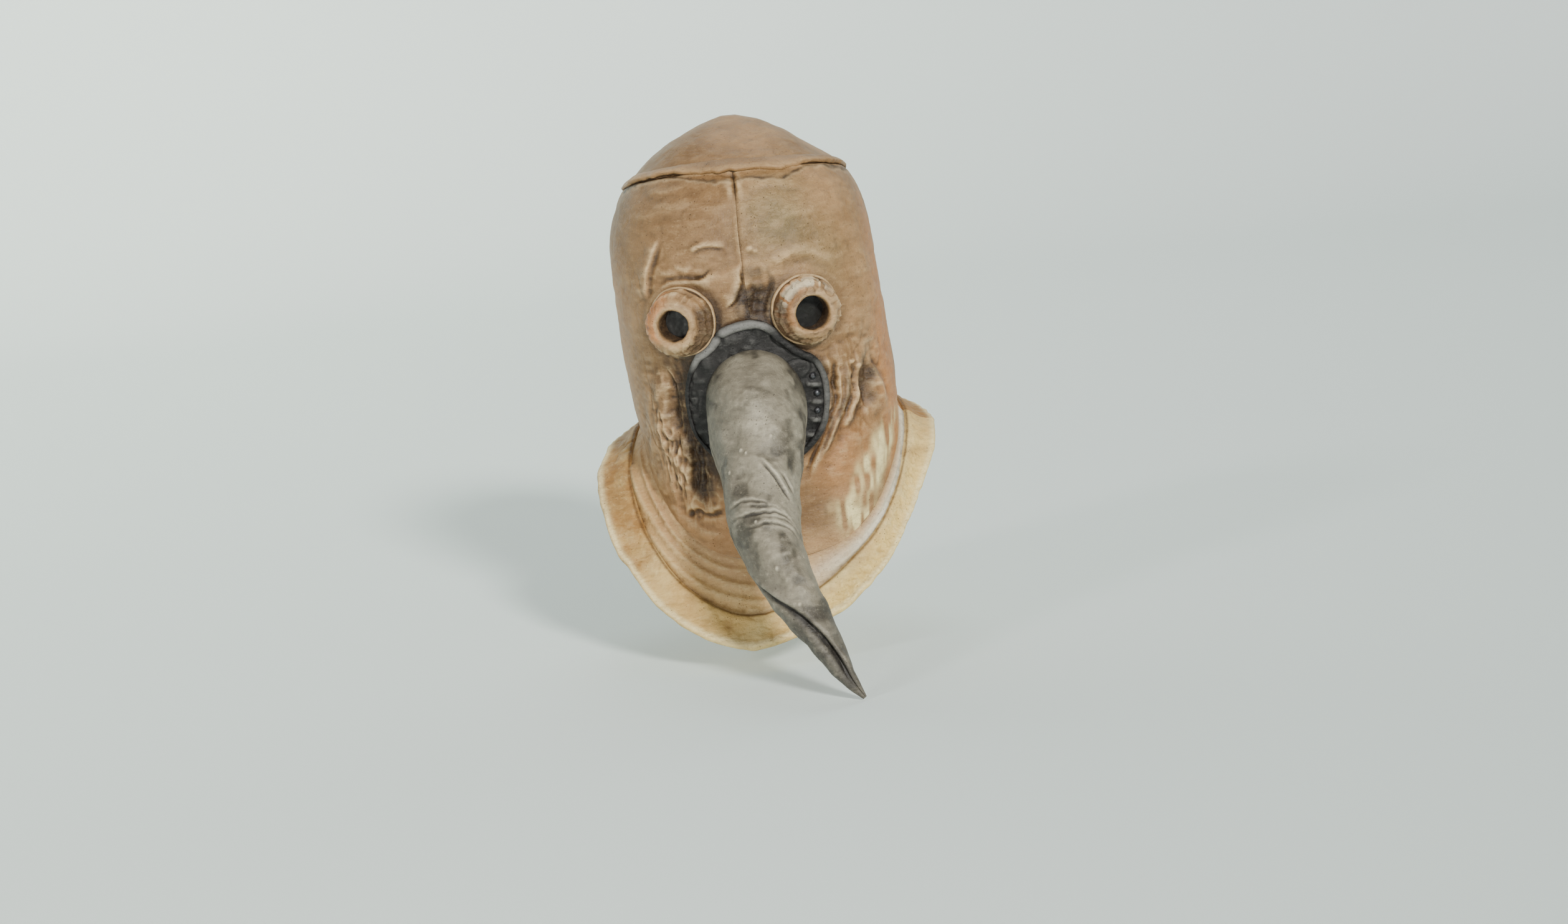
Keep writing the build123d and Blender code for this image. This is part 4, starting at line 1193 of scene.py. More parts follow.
def beak_relief(share, angle):
    """Creases and dents of the beak."""
    at = beak_place(share, angle)
    p = beak_at(share, angle, 0.0)
    free = at + 1.8 * np.stack([noise(p, 13, 84), noise(p, 13, 85)], -1) + 0.7 * noise(p, 4, 86)[..., None]
    d = 2.0 * noise(p, 26, 81) + 0.9 * noise(p, 12, 82) + 0.22 * noise(p, 4, 83) + 0.15 * wrinkles(p, 17, 87)
    for k, up in enumerate((0.7, 0.35, 0.9, 0.4, 0.7)):
        s = 105 + 4.6 * k
        left, right = (-36, -26, -38, -12, -26)[k], (4, 22, 30, 34, 28)[k]
        line = [(right, s + 12 + 0.4 * right), (right / 2, s + 7), (left / 3, s + 2), (left, s - k)]
        d += fold(free, line, up, 2.6, 0.8, 0.8 * up, 0.45)
    for path, *form in (
        ([(26, 110), (17, 98), (9, 88), (1, 80)], 1.2, 3.4, 1.1, 1.1, 0.35),
        ([(30, 102), (22, 92), (15, 86)], 0.7, 2.6, 1.0, 0.6, 0.4),
        ([(14, 146), (2, 152), (-12, 150)], 0.9, 6.0, 2.8, 0.5),
        ([(16, 182), (10, 172), (2, 164)], 0.8, 4.0, 2.4, 0.5),
    ):
        d += fold(free, path, *form)
    for up, middle, half, turn in (
        (-2.2, (8, 78), (9, 6), 20), (-1.6, (-14, 92), (9, 8), 0), (-1.4, (-20, 64), (7, 9), 0),
        (-1.3, (4, 136), (9, 6), 0), (-1.0, (-8, 168), (6, 8), 0),
        (1.8, (4, 54), (17, 12), 25), (1.0, (-8, 112), (10, 5), 0),
    ):
        d += up * bowl(free, middle, half, turn)
    for x, s, r in (
        (-13, 73, 1.4), (-9, 76, 1.1), (-6, 158, 1.6), (-9, 124, 1.2), (-24, 84, 1.1),
        (10, 66, 1.0), (-3, 186, 1.3),
    ):
        d += 0.9 * bowl(at, (x, s), (r, r))
    return d * smoothstep(1.0, 0.9, share) * (0.3 + 0.7 * smoothstep(0.0, 0.2, share))


def beak_half(name, start, material):
    cols, rows = int(190 * DENSE), int(430 * DENSE)
    across = np.linspace(0, 1, cols)[None]
    root_angle = np.radians(start + 180 * across)
    first = beak_start(root_angle)
    share = first + (1 - first) * np.linspace(0, 1, rows)[:, None]
    twist = glide(MOUTH_ROWS, MOUTH_ROWS[:, 0], share)[..., 1]
    wide = beak_section(share)[3]
    gap = 0.15 / np.maximum(wide, 1.0)
    angle = np.radians(start - twist) + gap + (math.pi - 2 * gap) * across
    d = beak_relief(share, angle)
    mouth = smoothstep(0.54, 0.64, share) * smoothstep(1.0, 0.9, share)
    edge = (1 - across if start == 0 else across) * math.pi * wide
    if start == 0:
        d += mouth * (1.7 * bump(edge, 2.4, 3.4) - 0.5 * bump(edge, 0, 1.0))
    else:
        d -= mouth * 3.4 * bump(edge, 0, 5.0) - 0.6 * mouth * bump(edge, 8.0, 3.0)
    other = (across if start == 0 else 1 - across) * math.pi * wide
    d -= 0.5 * bump(other, 0, 1.2) + 0.4 * (1 - mouth) * bump(edge, 0, 1.2)
    d = np.maximum(d, -0.4 * wide)
    wall = np.minimum(LEATHER, 0.6 * wide)
    outer = beak_at(share, angle, -d)
    inner = beak_at(share, angle, wall - np.minimum(d, 0))
    obj = slab(name, outer, inner)
    tones = cavity(d, 0.7)
    p = beak_at(share, angle, 0.0)
    # Painted shade in the mouth line's groove and where the beak stands on the plate.
    deep = 1.3 * mouth * np.exp(-((edge / 5.0) ** 4)) if start else 0.7 * mouth * bump(edge, 0, 0.7)
    root = bump((share - first) * BEAK_LONG, 0, 4.0)
    shade = 0.6 * smoothstep(-0.2, -0.95, np.cos(angle)) + 0.4 * smoothstep(0.2, -0.6, np.sin(angle))
    shade = shade + 0.9 * smoothstep(0.66, 0.86, share)
    at = beak_place(share, angle)
    stain = smoothstep(0.1, 0.6, noise(p, 17, 88) + 0.4 * noise(p, 6, 89)) * (1 - bowl(at, (4, 56), (18, 14)))
    # A painted highlight on the bulge of the beak's top.
    tones["ridge"] = unit(tones["ridge"] + 0.6 * bowl(at, (2, 58), (12, 12), 25))
    paint(obj, **tones, deep=unit(deep + 0.5 * root), shade=unit(shade), stain=stain)
    return finish_piece(obj, "mask", "beak_leather", material, name)


# ---------------------------------------------------------------- collar and hem


def rim_at(angle):
    """Distance and height of the collar's rim."""
    rows = np.concatenate([RIM_ROWS[-3:] + (360, 0, 0), RIM_ROWS, RIM_ROWS[:3] - (360, 0, 0)])
    around = -(np.mod(-np.asarray(angle, float), 360.0))
    out = glide(rows[:, 1:], -rows[:, 0], -around)
    return out[..., 0], out[..., 1]


def neck_at(angle):
    """Distance and height of the neck seam about the collar's axis."""
    c, s = np.cos(np.radians(angle)), np.sin(np.radians(angle))
    low, high = np.full_like(c, 40.0), np.full_like(c, 140.0)
    for _ in range(36):
        r = (low + high) / 2
        z = neck_z(r * s)
        row = glide(HOOD_ROWS, HOOD_MARKS, mark_at(z))
        front = s < 0
        power = np.where(front, FRONT_POWER, BACK_POWER)
        depth = np.where(front, row[..., 3], row[..., 4])
        x = COLLAR_AXIS_X + r * c - row[..., 1]
        out = (np.abs(x) / row[..., 2]) ** power + (np.abs(r * s) / depth) ** power > 1
        high = np.where(out, r, high)
        low = np.where(out, low, r)
    return r, neck_z(r * s)


class Collar:
    """The collar's upper face over a row of angles."""

    def __init__(self, angles):
        self.angles = np.asarray(angles, float)
        r0, z0 = neck_at(self.angles)
        r3, z3 = rim_at(self.angles)
        z0 = z0 - 0.3
        self.chord = np.hypot(r3 - r0, z3 - z0)
        slope = np.arctan2(z0 - z3, r3 - r0)
        end = slope * 0.72
        r1, z1 = r0 + 0.05 * self.chord, z0 - 0.33 * self.chord * np.sin(slope)
        r2, z2 = r3 - 0.36 * self.chord * np.cos(end), z3 + 0.36 * self.chord * np.sin(end)
        self.r, self.z = np.array((r0, r1, r2, r3)), np.array((z0, z1, z2, z3))
        self.hem = 1 - np.minimum(HEM_WIDE / self.chord, HEM_SHARE_MAX)

    def at(self, share, lift):
        """Points for a grid of shares, lifted off the face."""
        s = unit(share)
        v = 1 - s
        mix = np.array((v**3, 3 * v * v * s, 3 * v * s * s, s**3))
        slope = np.array((-3 * v * v, 3 * v * v - 6 * v * s, 6 * v * s - 3 * s * s, 3 * s * s))
        r, z = (mix * self.r[:, None]).sum(0), (mix * self.z[:, None]).sum(0)
        dr, dz = (slope * self.r[:, None]).sum(0), (slope * self.z[:, None]).sum(0)
        length = np.hypot(dr, dz)
        over = (share - s) * self.chord
        r = r + (over * dr - lift * dz) / length
        z = z + (over * dz + lift * dr) / length
        a = np.radians(self.angles)
        return np.stack([COLLAR_AXIS_X + r * np.cos(a), r * np.sin(a), z], -1)


def collar_folds(angles, share):
    """Folds that run round the collar. Places are degrees, doubled, and shares of its width times 70."""
    at = np.stack([np.broadcast_to(angles * 2.0, share.shape), share * 70], -1)
    d = fold(at, [(-200, 10), (-250, 12), (-290, 14), (-330, 16), (-362, 14)], 1.8, 3.0, 4.5, 0.8, 0.2)
    for path, *form in (
        ([(-190, 24), (-240, 22), (-290, 26), (-330, 32), (-360, 34)], 2.4, 3.2, 5.0, 1.4, 0.15),
        ([(-176, 37), (-220, 33), (-260, 34), (-310, 40)], 2.2, 3.0, 4.5, 1.5, 0.15),
        ([(-182, 47), (-215, 44), (-250, 44), (-280, 47)], 2.0, 2.6, 4.0, 1.2, 0.15),
        ([(-176, 40), (-196, 42), (-214, 40)], 2.6, 3.0, 2.6, 1.8, 0.2),
        ([(-12, 30), (-60, 26), (-110, 22), (-150, 24)], 1.8, 3.5, 5.0, 1.0, 0.2),
        ([(-6, 42), (-60, 38), (-110, 36), (-160, 38)], 2.0, 3.5, 5.0, 1.2, 0.2),
        ([(-20, 14), (-70, 12), (-120, 10)], 1.2, 4.0, 5.0, 0.5, 0.2),
    ):
        d += fold(at, path, *form)
    return d


def collar_piece(name, start, stop, material):
    cols, rows = int(abs(stop - start) * 3.2 * DENSE), int(90 * DENSE)
    collar = Collar(np.linspace(start, stop, cols))
    share = np.linspace(0, 1, rows)[:, None] * (collar.hem + 0.01)
    flat = collar.at(share, np.zeros_like(share))
    d = collar_folds(collar.angles, share) + 0.8 * noise(flat, 24, 91)
    tuck = bump(share * collar.chord, 0, 2.0)
    d = d * (1 - tuck) - 0.35 * tuck
    skin = 0.3 * noise(flat, 6, 92) + 0.12 * noise(flat, 2.6, 93) + 0.3 * wrinkles(flat, 15, 94)
    last = bump((collar.hem + 0.01 - share) * collar.chord, 0, 3.5)
    outer = collar.at(share, d + skin - 1.2 * last)
    inner = collar.at(share, np.minimum(d, 0.8) - LEATHER)
    obj = slab(name, outer, inner)
    tones = cavity(d + skin, 1.9)
    seam = bump(share * collar.chord, 0, 2.5)
    white = smoothstep(-96, -40, collar.angles) * smoothstep(20, 0, collar.angles)
    white = bump(share, 0.34, 0.2) * white
    behind = unit(smoothstep(-186, -200, collar.angles) + smoothstep(-4, 8, collar.angles))
    # Painted shade in the folds' hollows, where the collar runs under the hem and along the neck seam, and
    # painted highlights on the folds' crests.
    paint(
        obj,
        hollow=unit(tones["hollow"] + 0.8 * last + 0.12 * seam),
        ridge=tones["ridge"],
        pale=unit(white),
        warm=unit(behind * np.ones_like(share)),
        tan=smoothstep(0.85, 0.12, share) * np.ones_like(behind),
    )
    return finish_piece(obj, "mask", "collar_leather", material, name)


def hem_piece(name, start, stop, material):
    """The band: its section goes round its upper face, its thick raised edge and its back."""
    cols = int(abs(stop - start) * 3.6 * DENSE)
    collar = Collar(np.linspace(start, stop, cols))
    section = looped(HEM_SECTION * (HEM_WIDE, 1.0), int(110 * DENSE)) / (HEM_WIDE, 1.0)
    across, lift = section[:, :1], section[:, 1:]
    rim = np.stack([collar.angles * 2, 0 * collar.angles, 0 * collar.angles], -1)[None]
    stretch = 1 + 0.045 * noise(rim, 17, 95) + 0.02 * noise(rim, 6, 96)
    share = collar.hem + (1 - collar.hem) * across * stretch
    flat = collar.at(share, lift)
    top = smoothstep(-1.0, 1.0, lift)
    fleecy = smoothstep(-108, -70, collar.angles) * smoothstep(4, -20, collar.angles) * np.ones_like(lift)
    fleecy = fleecy * smoothstep(0.15, 0.55, across)
    d = 0.5 * noise(flat, 15, 97) + (0.22 + 0.5 * fleecy) * noise(flat, 3.2, 98)
    d = d + (0.1 + 0.35 * fleecy) * noise(flat, 1.5, 99) + 0.7 * wrinkles(flat, 13, 100) * (1 - fleecy)
    obj = capped_tube(name, np.swapaxes(collar.at(share, lift + d * (0.3 + 0.7 * top)), 0, 1))
    # Painted shade in the groove along the band's inner edge, faintly down its middle and in its dents;
    # painted highlights on its raised outer edge and its bumps.
    groove = bump(across, 0.02, 0.05) + 0.12 * bump(across, 0.55, 0.16)
    soil = 0.9 * smoothstep(-128, -160, collar.angles) + 0.5 * unit(noise(flat, 9, 101))
    behind = unit(smoothstep(-186, -200, collar.angles) + smoothstep(2, 12, collar.angles))
    paint(
        obj,
        True,
        hollow=unit(groove * top + unit(-d) * 0.22),
        ridge=unit(bump(across, 0.93, 0.1) * top + unit(d) * 0.4),
        fleece=fleecy * top,
        soil=unit(soil),
        warm=behind * np.ones_like(lift),
    )
    return finish_piece(obj, "mask", "hem_leather", material, name)


# ---------------------------------------------------------------- closure tabs and pads


def on_back(x, z, lift):
    d = 0.5
    slope_x = (back_y(x + d, z) - back_y(x - d, z)) / (2 * d)
    slope_z = (back_y(x, z + d) - back_y(x, z - d)) / (2 * d)
    n = np.stack([-slope_x, np.ones_like(x), -slope_z], -1)
    n /= np.linalg.norm(n, axis=-1, keepdims=True)
    return np.stack([x, back_y(x, z), z], -1) + n * lift[..., None]


def closure_tab(name, z, seed, material):
    """Strap over the slit, with a pressed line round its edge and a slot that the toggle has stretched."""
    cols, rows = int(220 * DENSE), int(64 * DENSE)
    middle = (TAB_X[0] + TAB_X[1]) / 2
    u = np.linspace(TAB_X[0], TAB_X[1], cols)[None]
    corner = np.clip(np.abs(u - middle) - (TAB_X[1] - middle - 7), 0, 7)
    half = TAB_TALL / 2 - 7 + np.sqrt(49 - corner**2)
    v = np.linspace(-1, 1, rows)[:, None]
    x, up = np.broadcast_to(u, (rows, cols)), v * half
    run = (TAB_SLOT[0] - TAB_SLOT[1]) / 2
    near = np.clip(x - POST_X, -run, run) + POST_X
    reach = np.hypot(x - near, up) / (TAB_SLOT[1] / 2)
    gone = reach < 1
    move = np.where(gone, 1 / np.maximum(reach, 1e-3) - 1, 0)
    x, up = x + (x - near) * move * gone, up + up * move * gone
    edge = np.minimum(half - np.abs(v * half), np.minimum(u - TAB_X[0], TAB_X[1] - u))
    edge = np.minimum(edge, np.maximum(reach - 1, 0) * TAB_SLOT[1] / 2)
    flat = np.stack([x, up, 0 * x + 9.0 * seed], -1)
    skin = 0.16 * noise(flat, 6, 201) + 0.07 * noise(flat, 2.2, 202) + 0.25 * wrinkles(flat, 9, 203)
    skin = skin - 1.0 * bump(edge, 0, 0.9) - 0.4 * bump(edge, 2.4, 0.5)
    keep = ~(gone[:-1, :-1] & gone[1:, :-1] & gone[:-1, 1:] & gone[1:, 1:])
    obj = slab(name, on_back(x, z + up, 2.6 + skin), on_back(x, z + up, 0.3 + 0 * skin), False, keep)
    # Painted shade in the pressed line and painted highlights along the edge.
    groove = bump(edge, 2.4, 0.7)
    paint(obj, hollow=groove, ridge=np.exp(-(edge**2)), worn=np.exp(-((reach - 1) ** 2)))
    return finish_piece(obj, "mask", "hood_leather", material, name)


def head_ring_pad(material):
    """Stuffed leather ring, sewn across into pads."""
    cols = int(520 * DENSE)
    angle = np.linspace(-math.pi, math.pi, cols, endpoint=False)
    low, high = RING_PAD_Z
    turn = np.linspace(0, 2 * math.pi, 40, endpoint=False)[:, None]
    height = (low + high) / 2 + (high - low - 1) / 2 * power_round(np.sin(turn), 3.0)
    shell = hood_at(angle[None], mark_at(height))
    flat = hood_at(angle, mark_at(np.full(cols, (low + high) / 2)))
    middle = np.array((2.0, 4.0))
    away = flat[:, :2] - middle
    reach = np.hypot(away[:, 0], away[:, 1])
    away /= reach[:, None]
    head = 1 / np.hypot(away[:, 0] / HEAD_HALF[0], away[:, 1] / HEAD_HALF[1])
    outside = np.hypot(shell[..., 0] - middle[0], shell[..., 1] - middle[1]) + PAD_OUT - 0.4
    inside = np.broadcast_to(head + 0.6, outside.shape)
    share = 0.5 + 0.5 * power_round(np.cos(turn), 2.4)
    seams = np.abs(np.sin(np.arctan2(away[:, 1], away[:, 0]) * 9)) ** 0.35
    puff = 0.62 + 0.38 * seams
    centre = (outside + inside) / 2
    radius = np.where(share > 0.5, outside - (outside - centre) * (1 - (share - 0.5) * 2),
                      centre - (centre - inside) * (0.5 - share) * 2 * puff)
    radius = radius + 0.25 * noise(shell, 7, 211)
    height = (low + high) / 2 + (height - (low + high) / 2) * (0.88 + 0.12 * seams)
    grid = np.stack([middle[0] + radius * away[:, 0], middle[1] + radius * away[:, 1], height], -1)
    obj = ring_solid("head_ring_pad", grid)
    # Painted shade along the sewn lines between the pads.
    paint(obj, hollow=np.broadcast_to(1 - seams, radius.shape))
    finish_piece(obj, "mask", "pad_leather", material, "head_ring_pad")


def nose_pad(material):
    """Small pillow over the bridge of the nose."""
    cols, rows = int(90 * DENSE), int(50 * DENSE)
    u, v = np.linspace(-1, 1, cols)[None], np.linspace(-1, 1, rows)[:, None]
    x = 2 + 19.6 * u * np.sqrt(1 - 0.25 * v**2)
    z = -27 + 6.4 * v * np.sqrt(1 - 0.3 * u**2)
    full = unit((1 - u**6) * (1 - v**4)) ** 0.5
    flat = np.stack([x, 0 * x, z], -1)
    outer, _ = on_front(flat[..., [0, 2]], PAD_OUT - 0.8 * (1 - full))
    inner, _ = on_front(flat[..., [0, 2]], PAD_OUT - 1.2 - 6.4 * full + 0.2 * noise(flat, 5, 221))
    obj = slab("nose_pad", outer, inner)
    # Painted shade towards the pad's edges.
    paint(obj, hollow=1 - full)
    finish_piece(obj, "mask", "pad_leather", material, "nose_pad")


def herb_sachet(material):
    """Linen bag stuffed with dry herbs, tied off at both ends."""
    cols, rows = int(90 * DENSE), int(150 * DENSE)
    u = np.linspace(0, 1, rows)[:, None]
    turn = np.linspace(0, 2 * math.pi, cols, endpoint=False)[None]
    share = 0.22 + 0.28 * (u + 0 * turn)
    wide = beak_section(share)[3]
    tie = bump(u, 0.07, 0.035) + bump(u, 0.93, 0.035)
    body = np.clip(1 - np.abs(2 * u - 1) ** 4, 0.22, 1) ** 0.5
    size = (wide - LEATHER - 2.8) * np.clip(body - 0.45 * tie, 0.14, 1)
    flat = beak_at(share, turn + 0 * u, wide - size)
    pleats = np.sin(turn * 14 + 2 * noise(flat, 12, 232)) * bump(np.abs(2 * u - 1), 0.8, 0.22)
    inset = wide - size * (1 + 0.05 * noise(flat, 9, 231) + 0.05 * pleats)
    obj = capped_tube("herb_sachet", beak_at(share, turn + 0 * u, inset))
    # Painted shade at the tied ends.
    paint(obj, hollow=unit(tie + 0 * turn))
    finish_piece(obj, "mask", "sachet_linen", material, "herb_sachet")


# ---------------------------------------------------------------- materials


class Look:
    """A material's node tree, built a node at a time. Sizes are millimetres."""

    def __init__(self, name):
        self.material = bpy.data.materials.new(name)
        self.material.use_nodes = True
        self.tree = self.material.node_tree
        self.tree.nodes.clear()
        self.where = self.node("ShaderNodeTexCoord").outputs["Object"]

    def node(self, kind, feeds=None, **settings):
        made = self.tree.nodes.new(kind)
        for key, value in settings.items():
            setattr(made, key, value)
        for socket, value in (feeds or {}).items():
            if isinstance(value, bpy.types.NodeSocket):
                self.tree.links.new(value, made.inputs[socket])
            else:
                made.inputs[socket].default_value = value
        return made

    def spread(self, x, y, z):
        """The place with each axis stretched, so that a pattern on it runs long."""
        feeds = {"Vector": self.where, "Scale": (1 / x, 1 / y, 1 / z)}
        return self.node("ShaderNodeMapping", feeds).outputs[0]

    def noise(self, size, detail=3.0, rough=0.55, warp=0.0, where=None):
        feeds = {"Vector": where or self.where, "Scale": 1000 / size, "Detail": detail, "Roughness": rough}
        return self.node("ShaderNodeTexNoise", feeds | {"Distortion": warp}).outputs[0]

    def cells(self, size, feature="F1", where=None):
        feeds = {"Vector": where or self.where, "Scale": 1000 / size}
        return self.node("ShaderNodeTexVoronoi", feeds, feature=feature).outputs["Distance"]

    def math(self, operation, a, b=0.0):
        return self.node("ShaderNodeMath", {0: a, 1: b}, operation=operation).outputs[0]

    def total(self, *parts):
        """Sum of values, each with its weight."""
        out = self.math("MULTIPLY", *parts[0])
        for value, weight in parts[1:]:
            feeds = {0: value, 1: weight, 2: out}
            out = self.node("ShaderNodeMath", feeds, operation="MULTIPLY_ADD").outputs[0]
        return out

    def span(self, value, low, high, first=0.0, last=1.0):
        feeds = {"Value": value, "From Min": low, "From Max": high, "To Min": first, "To Max": last}
        return self.node("ShaderNodeMapRange", feeds, interpolation_type="SMOOTHSTEP").outputs[0]

    def value(self, name, weight=1.0):
        out = self.node("ShaderNodeAttribute", attribute_name=name).outputs["Fac"]
        return out if weight == 1.0 else self.math("MULTIPLY", out, weight)

    def mix(self, share, a, b, blend="MIX"):
        def colour(c):
            return c if isinstance(c, bpy.types.NodeSocket) else (*srgb(c), 1.0)

        feeds = {0: share, 6: colour(a), 7: colour(b)}
        return self.node("ShaderNodeMix", feeds, data_type="RGBA", blend_type=blend).outputs[2]

    def relief(self, height):
        """Bump from a height in millimetres."""
        return self.node("ShaderNodeBump", {"Height": height, "Distance": MM, "Strength": 1.0}).outputs[0]

    def close(self, colour, roughness, normal=None, **shader):
        made = self.node("ShaderNodeBsdfPrincipled", {"Roughness": roughness})
        for key, value in shader.items():
            made.inputs[key.replace("_", " ")].default_value = value
        if isinstance(colour, bpy.types.NodeSocket):
            self.tree.links.new(colour, made.inputs["Base Color"])
        else:
            made.inputs["Base Color"].default_value = (*srgb(colour), 1.0)
        if normal:
            self.tree.links.new(normal, made.inputs["Normal"])
        self.node("ShaderNodeOutputMaterial", {0: made.outputs[0]})
        return self.material


def srgb(colour):
    """Linear values of a colour given as 0xRRGGBB."""
    parts = [(colour >> shift & 255) / 255 for shift in (16, 8, 0)]
    return [c / 12.92 if c < 0.04045 else ((c + 0.055) / 1.055) ** 2.4 for c in parts]


def leather(name, dark, mid, light, dirt_and_shade, rub_and_highlight, grain=1.0, gloss=0.5, pit=1.0, shine=0.4, tints=()):
    """Aged leather, with painted highlights on its ridges and painted shade in its hollows and deep places.
    Tints are pairs of a painted value's name and its colour.
    """
    look = Look(name)
    slow, medium = look.noise(40, 4, 0.55), look.noise(10, 6, 0.62, 0.3)
    lumps, fine, dust = look.noise(4.5, 3, 0.6, 0.4), look.noise(1.6, 3, 0.6), look.noise(0.55, 2, 0.6)
    streak = look.noise(2.4, 5, 0.65, 0.6, look.spread(3.5, 3.5, 1))
    pebble = look.cells(1.25, "SMOOTH_F1")
    pores = look.span(look.cells(3.1), 0.17, 0.06)
    pores = look.math("MULTIPLY", pores, look.span(look.noise(21, 2, 0.5), 0.46, 0.6))
    line = look.noise(8, 5, 0.62, 1.4, look.spread(1.8, 1.8, 1))
    line = look.math("ABSOLUTE", look.math("SUBTRACT", line, 0.5))
    crease = look.math("MULTIPLY", look.span(line, 0.0, 0.03, 1.0, 0.0), look.span(slow, 0.4, 0.6))
    colour = look.mix(look.span(slow, 0.36, 0.64), dark, light)
    colour = look.mix(look.span(medium, 0.3, 0.7, 0.7, 0.15), colour, mid)
    for key, tint in tints:
        share = look.math("MULTIPLY", look.value(key), look.span(medium, 0.2, 0.6, 0.55, 1.0))
        colour = look.mix(share, colour, tint)
    speckle = look.total((streak, 0.5), (fine, 0.3), (dust, 0.2))
    colour = look.mix(look.span(speckle, 0.28, 0.5, 0.45, 0.0), colour, dirt_and_shade)
    colour = look.mix(look.span(speckle, 0.52, 0.72, 0.0, 0.4), colour, rub_and_highlight)
    # Painted highlights on the ridges.
    share = look.math("MULTIPLY", look.value("ridge"), look.span(speckle, 0.3, 0.6, 0.3, 0.9))
    colour = look.mix(share, colour, rub_and_highlight)
    # Painted shade in hollows and deep places; the fine creases and pores mixed in are the leather's own
    # marks.
    shade = look.math("MAXIMUM", look.value("hollow", 0.85), look.value("deep", 0.95))
    shade = look.math("MAXIMUM", shade, look.math("MULTIPLY", crease, 0.14))
    shade = look.math("MAXIMUM", shade, look.math("MULTIPLY", pores, 0.7))
    shade = look.math("MULTIPLY", shade, look.span(speckle, 0.25, 0.7, 1.12, 0.8))
    colour = look.mix(look.math("MINIMUM", shade, 0.97), colour, dirt_and_shade)
    height = look.total(
        (medium, 0.9), (lumps, 0.35), (streak, 0.35 * grain), (fine, 0.18 * grain), (dust, 0.05 * grain),
        (pebble, 0.14 * grain), (pores, -0.4 * pit), (crease, -0.08),
    )
    rough = look.span(look.total((medium, 0.4), (speckle, 0.6)), 0.3, 0.7, 1 - gloss - 0.08, 1 - gloss + 0.14)
    return look.close(colour, rough, look.relief(height), Specular_IOR_Level=shine)


def cloth(name, base, shade, thread=0.8, rough=0.9):
    """Plain weave, on two axes that suit a wall that stands up."""
    look = Look(name)
    split = look.node("ShaderNodeSeparateXYZ", {0: look.where})
    round_about = look.math("ADD", split.outputs[0], split.outputs[1])
    pitch = 2 * math.pi * 1000 / thread / 2
    warp = look.math("SINE", look.math("MULTIPLY", round_about, pitch))
    weft = look.math("SINE", look.math("MULTIPLY", split.outputs[2], pitch))
    weave = look.math("MULTIPLY", warp, weft)
    slub = look.noise(3, 4, 0.6, where=look.spread(6, 6, 1))
    colour = look.mix(look.span(look.noise(30, 4), 0.3, 0.7, 0.1, 0.75), base, shade)
    colour = look.mix(look.span(weave, -1, 1, 0.35, 0.0), colour, shade)
    # Painted shade in hollows.
    colour = look.mix(look.value("hollow", 0.7), colour, shade)
    height = look.total((weave, 0.1), (slub, 0.25), (look.noise(0.5, 2), 0.08))
    sheen = {"Sheen_Weight": 0.25, "Sheen_Roughness": 0.5, "Specular_IOR_Level": 0.2}
    return look.close(colour, rough, look.relief(height), **sheen)


def metal(name, base, tarnish, rough, metallic=1.0):
    look = Look(name)
    spots = look.span(look.noise(3.5, 5, 0.65, 0.5), 0.42, 0.62)
    scratches = look.noise(0.5, 3, 0.6, where=look.spread(8, 1, 1))
    colour = look.mix(spots, base, tarnish)
    height = look.total((look.noise(1.2, 4), 0.12), (scratches, 0.03))
    roughness = look.span(look.total((spots, 0.7), (scratches, 0.3)), 0.0, 1.0, rough, rough + 0.3)
    return look.close(colour, roughness, look.relief(height), Metallic=metallic)


def glass():
    look = Look("smoked_glass")
    smear = look.noise(9, 4, 0.6, 1.0)
    colour = look.mix(look.span(smear, 0.35, 0.7), 0x1C1B18, 0x0E0D0C)
    rough = look.span(smear, 0.3, 0.7, 0.2, 0.45)
    return look.close(colour, rough, look.relief(look.noise(14, 2)), Specular_IOR_Level=0.3, IOR=1.5)


def horn():
    look = Look("toggle_horn")
    bands = look.noise(5, 5, 0.6, 1.5, look.spread(1, 1, 5))
    colour = look.mix(look.span(bands, 0.3, 0.7), 0x3B2A1C, 0x8F7350)
    colour = look.mix(look.span(look.noise(0.8, 3), 0.4, 0.7, 0.0, 0.3), colour, 0x1E1610)
    rough = look.span(bands, 0.3, 0.7, 0.22, 0.4)
    return look.close(colour, rough, look.relief(look.noise(0.9, 3)), Coat_Weight=0.2)


def put_on(nodes, material):
    """Gives CAD nodes their material."""
    for name in nodes:
        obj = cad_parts[name]
        obj = bpy.data.objects[obj] if isinstance(obj, str) else obj
        for slot in obj.material_slots:
            slot.material = material


# ---------------------------------------------------------------- the object

TAN = leather(
    "hood_leather", 0x7A5A36, 0x99774F, 0xB18C62, 0x1C1109, 0xD2B488, gloss=0.5,
    tints=(
        ("olive", 0x736A45), ("warm", 0xBC7C42), ("soil", 0x5C4226), ("pale", 0xF2E2A6), ("worn", 0xE2C79A),
    ),
)
EYE_TAN = leather(
    "eye_leather", 0x846440, 0x9E7C54, 0xB29068, 0x22160D, 0xDCC49A, grain=1.2, gloss=0.48,
    tints=(("warm", 0xBE7A44), ("pale", 0xE0D8BC)),
)
GREY = leather(
    "beak_leather", 0x6E6758, 0x847D6C, 0x9A9380, 0x1A1714, 0xBDB5A0, grain=0.9, gloss=0.5,
    tints=(("stain", 0x4C473C), ("shade", 0x47433C)),
)
BLACK = leather(
    "plate_leather", 0x161514, 0x1D1C1B, 0x2A2827, 0x070606, 0x6E6D6A, grain=0.8, gloss=0.5, shine=0.25,
)
ROLLED = leather(
    "bead_leather", 0x4C4B48, 0x5A5956, 0x6A6966, 0x0E0D0E, 0x8C8B87, grain=0.6, gloss=0.5, shine=0.25,
)
